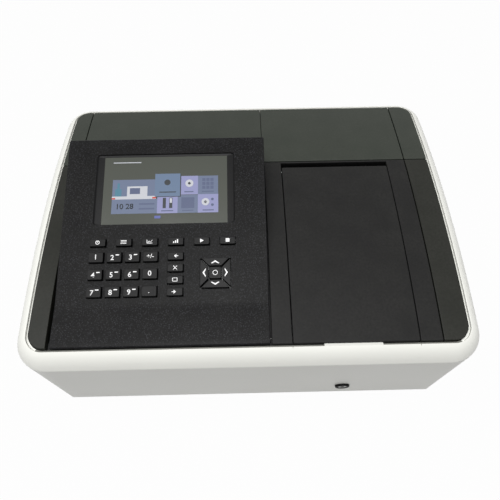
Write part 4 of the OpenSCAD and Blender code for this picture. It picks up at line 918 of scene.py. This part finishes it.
def makeConsole(spec):
    x0, x1 = consoleLow.x, consoleHigh.x
    back, foot = consoleHigh.y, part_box("bay_frame")[1].y
    bottom = crown(-deckY, deckShape["skirt"])
    rise = [(-deckY + spec["fold"] * k / 8, crown(-deckY + spec["fold"] * k / 8)) for k in range(1, 8)]
    profile = [(-deckY, bottom), (-deckY, crown(-deckY) - 1.2 * mm), (-deckY + 0.4 * mm, crown(-deckY) - 0.35 * mm),
               (-deckY + 1.2 * mm, crown(-deckY) + 0.1 * mm)] + rise
    profile += [(foldY - 2 * mm, crown(foldY - 2 * mm) + 0.05 * mm), (foldY + 2 * mm, slopeZ(foldY + 2 * mm))]
    profile += [(back - 2.4 * mm, slopeZ(back - 2.4 * mm)), (back - 1.2 * mm, slopeZ(back - 1.2 * mm) - 0.15 * mm),
                (back - 0.4 * mm, slopeZ(back) - 0.9 * mm), (back, slopeZ(back) - 2.2 * mm), (foot, crown(foot, deckShape["skirt"]))]
    profile.reverse()
    edge = spec["edge"]
    rings = []
    for x, inset in ((x0, edge), (x0 + 0.3 * edge, 0.3 * edge), (x0 + edge, 0), (x1 - edge, 0), (x1 - 0.3 * edge, 0.3 * edge), (x1, edge)):
        rings.append([(x, y, z) for y, z in insetOutline(profile, inset)])
    mesh = meshOf("consoleShell", *loft([list(reversed(r)) for r in rings]))
    console = newPiece("consoleShell", mesh, "consoleBlack", "housing")
    t = spec["shell"]
    hollow = [(-deckY + t, bottom - 9 * mm), (-deckY + t, crown(-deckY + t, t)), (foldY, crown(foldY) - t),
              (back - t, slopeZ(back - t) - t), (foot - t, crown(foot, deckShape["skirt"])), (foot - t, bottom - 9 * mm)]
    cutters = [meshOf("cutter", *loft([[(x, y, z) for y, z in hollow] for x in (x1 - t, x0 + t)]))]
    for key in keyPlaces():
        x, up, w, l = key[1:5]
        g = spec["keyGap"]
        cutters.append(boxCutter(x - w / 2 - g, x + w / 2 + g, up - l / 2 - g, up + l / 2 + g, -8 * mm, 8 * mm, slopeTurn))
    nav = navSpec["width"] / 2 + spec["keyGap"]
    navX = navSpec["x"]
    cutters.append(boxCutter(navX - nav, navX + nav, navSpec["up"] - nav, navSpec["up"] + nav, -8 * mm, 8 * mm, slopeTurn))
    cut(console, cutters)
    gx, gs, gw, gl = spec["glass"]
    gx += x0
    cutters = [boxCutter(gx, gx + gw, gs, gs + gl, -8 * mm, 8 * mm, slopeTurn)]
    cut(console, cutters)
    side, rear = spec["bevelSide"], spec["bevelBack"]
    rings = []
    for share, depth, corner in ((0, t - 0.3 * mm, 0.6), (0.82, 1.5 * mm, 2.2), (1, 0.5 * mm, 3.0), (1.06, 0, 3.4), (1.06, -3 * mm, 3.4)):
        outline = roundedOutline(gx - side * share, gx + gw + side * share, gs - 0.02 * mm - 0.4 * mm * share, gs + gl + rear * share,
                                 (corner * mm,) * 4, 6)
        rings.append([onSlope(x, up, -depth) for x, up in outline])
    cut(console, [meshOf("cutter", *loft(rings))])
    # painted shade: the walls of the display recess get a near-black material
    console.data.materials.append(finish["recessPaintedShade"])
    inverse, turn = slopeInverse, slopeInverse.to_3x3()
    for face in console.data.polygons:
        centre, normal = inverse @ face.center, turn @ face.normal
        if -t < centre.z < -0.05 * mm and normal.z > -0.1 and normal.z < 0.998 and gs - 2 * mm < centre.y < gs + gl + 2 * rear:
            face.material_index = len(console.data.materials) - 1
    evenNormals(console)
    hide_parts("console")


keySpec = {
    "height": 4 * mm,
    "corner": 1.3 * mm,
    "edge": 0.55 * mm,
    "dish": 0.06 * mm,
    "number": (15 * mm, 10.8 * mm, 18.7 * mm, 18.2 * mm),  # width, length, pitch across, pitch up the slope
    "command": (16 * mm, 8 * mm),
}
navSpec = {"x": consoleLow.x + 162.2 * mm, "up": 31.2 * mm, "width": 31 * mm, "middle": 12.3 * mm, "gap": 1.2 * mm}


def keyPlaces():  # node, across, up the slope, width, length
    places = []
    w, l, across, upward = keySpec["number"]
    rows = (("key_7", "key_8", "key_9", "key_point"), ("key_4", "key_5", "key_6", "key_0"), ("key_1", "key_2", "key_3", "key_sign"))
    for r, row in enumerate(rows):
        for c, node in enumerate(row):
            places.append((node, consoleLow.x + 39.4 * mm + c * across, 49.8 * mm + (r - 2) * upward, w, l))
    w, l = keySpec["command"]
    for i in range(6):
        places.append((f"key_f{i + 1}", consoleLow.x + 40.3 * mm + i * 26.96 * mm, 65.6 * mm, w, l))
    for i in range(4):
        places.append((f"key_c{i + 1}", consoleLow.x + 121.3 * mm, 49.7 * mm - i * 12.5 * mm, w, l))
    return places


makeConsole(consoleSpec)
print("console made")


def keyMesh(outline, height, dish, under=2.7 * mm):  # outline in slope coordinates
    edge = keySpec["edge"]
    centre = Vector((sum(p[0] for p in outline) / len(outline), sum(p[1] for p in outline) / len(outline)))
    rings = [[onSlope(x, up, -under) for x, up in outline]]
    for k in range(4):
        angle = math.radians(30 * k)
        rings.append([onSlope(x, up, height - edge + edge * math.sin(angle))
                      for x, up in insetOutline(outline, edge * (1 - math.cos(angle)))])
    top = insetOutline(outline, edge)
    for share, sink in ((0.75, 0.45), (0.45, 0.85), (0.15, 1.0)):
        ring = [centre.lerp(Vector(p), share) for p in top]
        rings.append([onSlope(p.x, p.y, height - dish * sink) for p in ring])
    mesh = meshOf("key", *loft(rings))
    smooth(mesh, 40)
    return mesh


def makeKey(node, outline, height):
    name = node.replace("key_", "keyCap_")
    key = newPiece(name, keyMesh(outline, height, keySpec["dish"]), "keyBlack", node.replace("key_", "button_"))
    key.data.materials.append(finish["keySide"])
    # painted shade: the key's side walls get a darker material than its top
    for face in key.data.polygons[:2 * len(outline)]:
        face.material_index = 1
    evenNormals(key)
    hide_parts(node)


def makeKeys(spec):
    for node, x, up, w, l in keyPlaces():
        makeKey(node, roundedOutline(x - w / 2, x + w / 2, up - l / 2, up + l / 2, (spec["corner"],) * 4, 5), spec["height"])
    x, up, m = navSpec["x"], navSpec["up"], navSpec["middle"] / 2
    makeKey("key_ok", roundedOutline(x - m, x + m, up - m, up + m, (spec["corner"],) * 4, 5), spec["height"])
    outer, inner, gap = navSpec["width"] / 2, m + navSpec["gap"], navSpec["gap"]
    wedge = [(inner - gap, inner), (outer - gap, outer), (gap - outer, outer), (gap - inner, inner)]
    for node, turn in (("key_up", 0), ("key_left", 90), ("key_down", 180), ("key_right", 270)):
        c, s = round(math.cos(math.radians(turn))), round(math.sin(math.radians(turn)))
        makeKey(node, [(x + c * px - s * py, up + s * px + c * py) for px, py in wedge], spec["height"])


makeKeys(keySpec)
print("keys made")


# ---- legends on the keys

legendSpec = {"lift": 0.02 * mm, "thick": 0.06 * mm, "digit": 7.6 * mm, "sign": 6.4 * mm, "bold": 0.12 * mm}


def ringMark(cx, cy, radius, width, steps=20):
    outer = arcPoints((cx, cy), radius, 0, 360, steps)
    inner = arcPoints((cx, cy), radius - width, 0, 360, steps)
    return [[outer[k], outer[k + 1], inner[k + 1], inner[k]] for k in range(steps)]


def barMark(x0, x1, y0, y1):
    return [[(x0, y0), (x1, y0), (x1, y1), (x0, y1)]]


def turned(outlines, turn):
    c, s = round(math.cos(math.radians(turn))), round(math.sin(math.radians(turn)))
    return [[(c * px - s * py, s * px + c * py) for px, py in points] for points in outlines]


def arrowMark(turn, size):
    return turned([[(-size, -size * 0.5), (size, -size * 0.5), (0, size * 0.7)]], turn)


def chevronMark(turn):
    left = [(-4.4, -1.5), (-3.3, -1.9), (0, -0.2), (0, 1.5)]
    return turned([left, [(-x, y) for x, y in reversed(left)]], turn)


def digitMesh(text, size):
    curve = bpy.data.curves.new("digit", "FONT")
    curve.body = text
    curve.size = size
    curve.align_x = "CENTER"
    curve.align_y = "CENTER"
    curve.resolution_u = 4
    curve.offset = legendSpec["bold"]
    holder = bpy.data.objects.new("digit", curve)
    bpy.context.collection.objects.link(holder)
    graph = bpy.context.evaluated_depsgraph_get()
    mesh = bpy.data.meshes.new_from_object(holder.evaluated_get(graph))
    bpy.data.objects.remove(holder)
    bpy.data.curves.remove(curve)
    return mesh


def flatMesh(outlines):
    verts, faces = [], []
    for outline in outlines:
        faces.append(tuple(range(len(verts), len(verts) + len(outline))))
        verts += [(x * mm, y * mm, 0) for x, y in outline]
    return meshOf("mark", verts, faces)


def makeLegend(node, mesh, x, up, height, body):
    turn = slopeTurn @ Matrix.Translation((x, up, height + legendSpec["lift"]))
    mesh.transform(turn)
    shape = bmesh.new()
    shape.from_mesh(mesh)
    bmesh.ops.remove_doubles(shape, verts=shape.verts, dist=1e-6)
    bmesh.ops.recalc_face_normals(shape, faces=shape.faces)
    out = slopeTurn.to_3x3() @ Vector((0, 0, 1))
    for face in shape.faces:
        if face.normal.dot(out) < 0:
            face.normal_flip()
    shape.to_mesh(mesh)
    shape.free()
    legend = newPiece(node.replace("key_", "legend_"), mesh, "legendWhite", body)
    solid = legend.modifiers.new("thick", "SOLIDIFY")
    solid.thickness = legendSpec["thick"]
    solid.offset = 0


def commandMarks():
    rule = 0.7
    return {
        "key_f1": ringMark(0, 0, 2.2, rule) + barMark(-rule / 2, rule / 2, -0.2, 2.0),
        "key_f2": barMark(-3, 3, 1.2, 1.2 + rule) + barMark(-3, 3, -0.25, 0.3) + barMark(-3, 3, -1.75, -1.2),
        "key_f3": barMark(-3, -2.4, -2, 2) + barMark(-3, 3, -2, -1.45) + [[(-2.0, -1.0), (-0.6, 0.8), (-0.3, 0.3), (-1.6, -1.3)],
                  [(-0.6, 0.8), (0.8, -0.4), (0.6, -0.9), (-0.5, 0.2)], [(0.8, -0.4), (2.6, 1.7), (2.9, 1.3), (0.8, -1.0)]],
        "key_f4": barMark(-2.6, -1.4, -2, -0.4) + barMark(-0.6, 0.6, -2, 0.8) + barMark(1.4, 2.6, -2, 2),
        "key_f5": [[(-1.5, -2), (2.2, 0), (-1.5, 2)]],
        "key_f6": barMark(-1.9, 1.9, -1.9, 1.9),
        "key_c1": arrowMark(90, 2.0) + barMark(0.6, 3.0, -0.35, 0.35),
        "key_c2": [[(-2.2, -1.9), (-1.7, -2.2), (2.2, 1.9), (1.7, 2.2)], [(-2.2, 1.9), (-1.7, 2.2), (2.2, -1.9), (1.7, -2.2)]],
        "key_c3": barMark(-2.6, 2.6, 1.4, 1.95) + barMark(-2.6, 2.6, -1.95, -1.4) + barMark(-2.6, -2.05, -1.4, 1.4)
                  + barMark(2.05, 2.6, -1.4, 1.4),
        "key_c4": arrowMark(270, 2.0) + barMark(-3.0, -0.6, -0.35, 0.35),
    }


def makeLegends():
    signs = {"key_point": ".", "key_sign": "+/-"}
    icons = commandMarks()
    top = keySpec["height"]
    for node, x, up, w, l in keyPlaces():
        body = node.replace("key_", "button_")
        if node in icons:
            mesh = flatMesh(icons[node])
        elif node in signs:
            mesh = digitMesh(signs[node], legendSpec["sign"])
        else:
            mesh = digitMesh(node[-1], legendSpec["digit"])
            if node not in ("key_0", "key_1"):
                mesh.transform(Matrix.Translation((-1.6 * mm, -0.9 * mm, 0)))
                makeLegend(node + "_side", flatMesh(barMark(1.7, 5.3, 1.6, 2.6)), x, up, top, body)
        makeLegend(node, mesh, x, up, top, body)
    ring = (navSpec["width"] + navSpec["middle"]) / 4 + navSpec["gap"] / 2
    for node, turn in (("key_up", 0), ("key_left", 90), ("key_down", 180), ("key_right", 270)):
        dx, dy = -math.sin(math.radians(turn)) * ring, math.cos(math.radians(turn)) * ring
        makeLegend(node, flatMesh(chevronMark(turn)), navSpec["x"] + dx, navSpec["up"] + dy, top, node.replace("key_", "button_"))
    makeLegend("key_ok", flatMesh(ringMark(0, 0, 2.6, 0.6)), navSpec["x"], navSpec["up"], top, "button_ok")


makeLegends()
print("legends made")


# ---- display

screenSpec = {
    "depth": 2.4 * mm,  # the glass lies this far under the console's surface
    "layer": 0.05 * mm,
    "clock": "10 28",
    "tiles": [  # name, material, left, right, low, high and layer, in mm from the glass's lower left corner
        ("screenTitle", "screenPale", 9.5, 40, 72, 73, 1),
        ("screenPicture", "screenBlueTile", 10, 57.5, 29, 52, 1),
        ("pictureBench", "screenPale", 10, 57.5, 29, 32.5, 2),
        ("pictureFlask", "screenTeal", 13, 20, 32.5, 41, 2),
        ("pictureFlaskNeck", "screenTeal", 15.2, 17.8, 41, 48, 2),
        ("pictureBlock", "screenPale", 26, 48, 32.5, 44, 2),
        ("pictureScreen", "screenShade", 29, 40, 35, 42, 3),
        ("pictureRedLeft", "screenRed", 10, 13.5, 29.2, 30.8, 3),
        ("pictureRedRight", "screenRed", 53.5, 57.5, 29.4, 31.2, 3),
        ("screenBand", "screenBlueTile", 10, 59, 12.4, 29, 1),
        ("bandLineA", "screenShade", 39.5, 56, 22.5, 24.2, 2),
        ("bandLineB", "screenShade", 39.5, 56, 17, 18.7, 2),
        ("tileLowA", "screenLavenderTile", 59, 81, 12.2, 31.2, 1),
        ("tubeA", "screenDark", 65, 68.4, 18, 30, 2),
        ("tubeB", "screenDark", 72, 75.4, 18, 30, 2),
        ("tubeTop", "screenPale", 72.5, 74.9, 24, 29.4, 3),
        ("lineLowA", "screenShade", 63.5, 76.5, 14.4, 15.6, 2),
        ("tileLowB", "screenBlueTile", 81, 102.8, 12.2, 33, 1),
        ("plotB", "screenShade", 85, 99, 17.5, 30, 2),
        ("lineLowB", "screenShade", 86, 98, 14.4, 15.6, 2),
        ("tileLowC", "screenLavenderTile", 102.8, 124.8, 12.2, 33.4, 1),
        ("lineLowC", "screenShade", 108, 120, 14.4, 15.6, 2),
        ("tileTopA", "screenLavenderTile", 84, 102.8, 33.4, 55.3, 1),
        ("lineTopA", "screenShade", 88, 98, 36, 37.2, 2),
        ("tileTopB", "screenBlueTile", 102.8, 124.7, 33.4, 55.2, 1),
        ("lineTopB", "screenShade", 107, 120, 36, 37.2, 2),
        ("tileShadow", "screenDark", 56.6, 84.4, 31, 57.6, 2),
        ("tileRaised", "screenRaisedTile", 56, 83.4, 31.7, 58.4, 3),
        ("lineRaised", "screenDark", 61, 79, 36, 37.2, 4),
        ("glow", "screenGlow", 56.5, 63, 6.5, 9.5, 1),
    ] + [(f"gridTop{r}{c}", "screenShade", 107.5 + c * 4.4, 110.9 + c * 4.4, 39.6 + r * 4.6, 43.2 + r * 4.6, 2)
         for r in range(3) for c in range(3)],
    "dots": [(69.5, 48, 3.4, "screenDark"), (93.4, 46.5, 4.4, "screenPale"), (93.4, 46.5, 1.5, "screenDark"),
             (111, 24.5, 4.2, "screenPale"), (111, 24.5, 1.6, "screenDark"), (118.5, 27.5, 1.5, "screenShade"),
             (118.5, 21, 1.5, "screenShade")],
}


def slab(name, material, x0, x1, up0, up1, level, layer=None):
    layer = layer or screenSpec["layer"]
    top = -screenSpec["depth"] + level * screenSpec["layer"]
    rings = [[onSlope(x, up, top + z) for x, up in ((x0, up0), (x1, up0), (x1, up1), (x0, up1))] for z in (-layer, 0)]
    mesh = meshOf(name, *loft(rings))
    piece = newPiece(name, mesh, material, "housing")
    return piece


def makeDisplay(spec):
    gx, gs, gw, gl = consoleSpec["glass"]
    gx += consoleLow.x
    window = slab("displayWindow", "screenField", gx - 3 * mm, gx + gw + 3 * mm, gs - 3 * mm, gs + gl + 3 * mm, 0, 2 * mm)
    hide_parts("display_glass")

    def tile(name, material, x0, x1, up0, up1, level):
        return slab(name, material, gx + x0 * mm, gx + x1 * mm, gs + up0 * mm, gs + up1 * mm, level)

    for name, material, x0, x1, up0, up1, level in spec["tiles"]:
        tile(name, material, x0, x1, up0, up1, level)
    for k, (x, up, size, material) in enumerate(spec["dots"]):
        disc = [(gx + px * mm, gs + py * mm) for px, py in arcPoints((x, up), size, 0, 345, 23)]
        top = 3.2 * spec["layer"] - spec["depth"]
        mesh = meshOf("dot", *loft([[onSlope(px, py, top + z) for px, py in disc] for z in (-spec["layer"], 0)]))
        newPiece(f"screenDot{k}", mesh, material, "housing")
    mesh = digitMesh(spec["clock"], 8.5 * mm)
    mesh.transform(slopeTurn @ Matrix.Translation((gx + 24 * mm, gs + 20.5 * mm, 3 * spec["layer"] - spec["depth"])))
    clock = newPiece("screenClock", mesh, "screenDark", "housing")
    clock.modifiers.new("thick", "SOLIDIFY").thickness = 0.04 * mm


makeDisplay(screenSpec)
print("display made")


# ---- pull rod and its bush

rodSpec = {
    "rod": 4.0 * mm,
    "knobLength": 4.0 * mm,
    "dimple": 2.2 * mm,
    "bore": 4.1 * mm,
    "tube": 7.2 * mm,
    "flange": 3.0 * mm,  # thickness of the bush's flange
    "edge": 0.5 * mm,
}


def ringOf(profile, axis, centre):  # a turned ring: the profile closes on itself
    count = len(profile)
    mesh = spun(profile + [profile[0]], axis, centre)
    shape = bmesh.new()
    shape.from_mesh(mesh)
    bmesh.ops.delete(shape, geom=[f for f in shape.faces if len(f.verts) > 4], context="FACES_ONLY")
    bmesh.ops.remove_doubles(shape, verts=shape.verts, dist=1e-7)
    shape.to_mesh(mesh)
    shape.free()
    smooth(mesh, 40)
    return mesh


def makeRod(spec):
    rodLow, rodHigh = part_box("pull_rod")
    bushLow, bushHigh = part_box("rod_bush")
    centre = ((rodLow.x + rodHigh.x) / 2, 0, (rodLow.z + rodHigh.z) / 2)
    knob, e, front = (rodHigh.x - rodLow.x) / 2, spec["edge"], rodLow.y
    profile = [(front + 1.5 * mm, spec["dimple"]), (front + 0.3 * mm, spec["dimple"]), (front, spec["dimple"] + 0.3 * mm),
               (front, knob - e), (front + 0.3 * e, knob - 0.3 * e), (front + e, knob),
               (front + spec["knobLength"] - e, knob), (front + spec["knobLength"], knob - e),
               (front + spec["knobLength"], spec["rod"]), (rodHigh.y - e, spec["rod"]), (rodHigh.y, spec["rod"] - e)]
    rod = newPiece("pullRod", spun(profile, "y", centre), "knobGrey", "carriage")
    rod.data.materials.append(finish["keySide"])
    for face in rod.data.polygons:
        across = (face.center - Vector((centre[0], face.center.y, centre[2]))).length
        if face.center.y < front + 6 * mm and (abs(face.normal.y) < 0.9 or across < spec["dimple"]):
            face.material_index = 1  # black on the knob's sides, and painted shade in the dimple, so that only the knob's end stays bare
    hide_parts("pull_rod")
    outer, start, end = (bushHigh.x - bushLow.x) / 2, bushLow.y, bushHigh.y
    mouth = knob + 0.3 * mm
    back = front + spec["knobLength"] + 0.4 * mm
    profile = [(start, mouth + 0.4 * mm), (start, outer - 0.7 * mm), (start + 0.3 * mm, outer - 0.2 * mm), (start + 0.7 * mm, outer),
               (start + spec["flange"], outer), (start + spec["flange"], spec["tube"]), (end - e, spec["tube"]),
               (end, spec["tube"] - e), (end, spec["bore"]), (back, spec["bore"]), (back, mouth), (start + 0.4 * mm, mouth)]
    bush = newPiece("rodBush", ringOf(profile, "y", centre), "keySide", "housing")
    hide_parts("rod_bush")


makeRod(rodSpec)
print("rod made")


# ---- materials of the CAD nodes that stay

kept = {
    "base_pan": "panPaint", "lcd_module": "steel", "keypad_board": "boardBlack", "hinge_pins": "steel", "bay_liner": "linerBlackAndPaintedShade",
    "cell_carriage": "anodisedBlack", "carriage_rails": "steel",
    "optics_base": "castAlloy", "lamp_house": "castAlloy", "tungsten_lamp": "lampGlass", "deuterium_lamp": "lampGlass",
    "grating_table": "castAlloy", "stepper_motors": "anodisedBlack", "mirrors": "mirrorSilver", "filter_wheel": "anodisedBlack",
    "detector": "anodisedBlack", "power_supply": "boardGreen", "main_board": "boardGreen", "fan_frame": "fittingBlack",
    "fan_rotor": "fittingBlack", "power_inlet": "fittingBlack", "power_rocker": "fittingBlack", "feet": "footRubber", "screws": "steel",
}
for node, material in kept.items():
    data = nodes[node].data
    data.materials.clear()
    data.materials.append(finish[material])
softened = {"base_pan": 0.5, "cell_carriage": 0.3, "feet": 0.6, "power_inlet": 0.3, "power_rocker": 0.3, "fan_frame": 0.4, "fan_rotor": 0.3,
            "lamp_house": 0.5, "optics_base": 0.6, "detector": 0.5, "stepper_motors": 0.4}  # rounding of the edges, mm
for node, width in softened.items():
    rounding = nodes[node].modifiers.new("softEdges", "BEVEL")
    rounding.width = width * mm
    rounding.segments = 2
    rounding.limit_method = "ANGLE"
    rounding.angle_limit = math.radians(40)
    rounding.harden_normals = True
print("kept nodes painted:", len(kept))
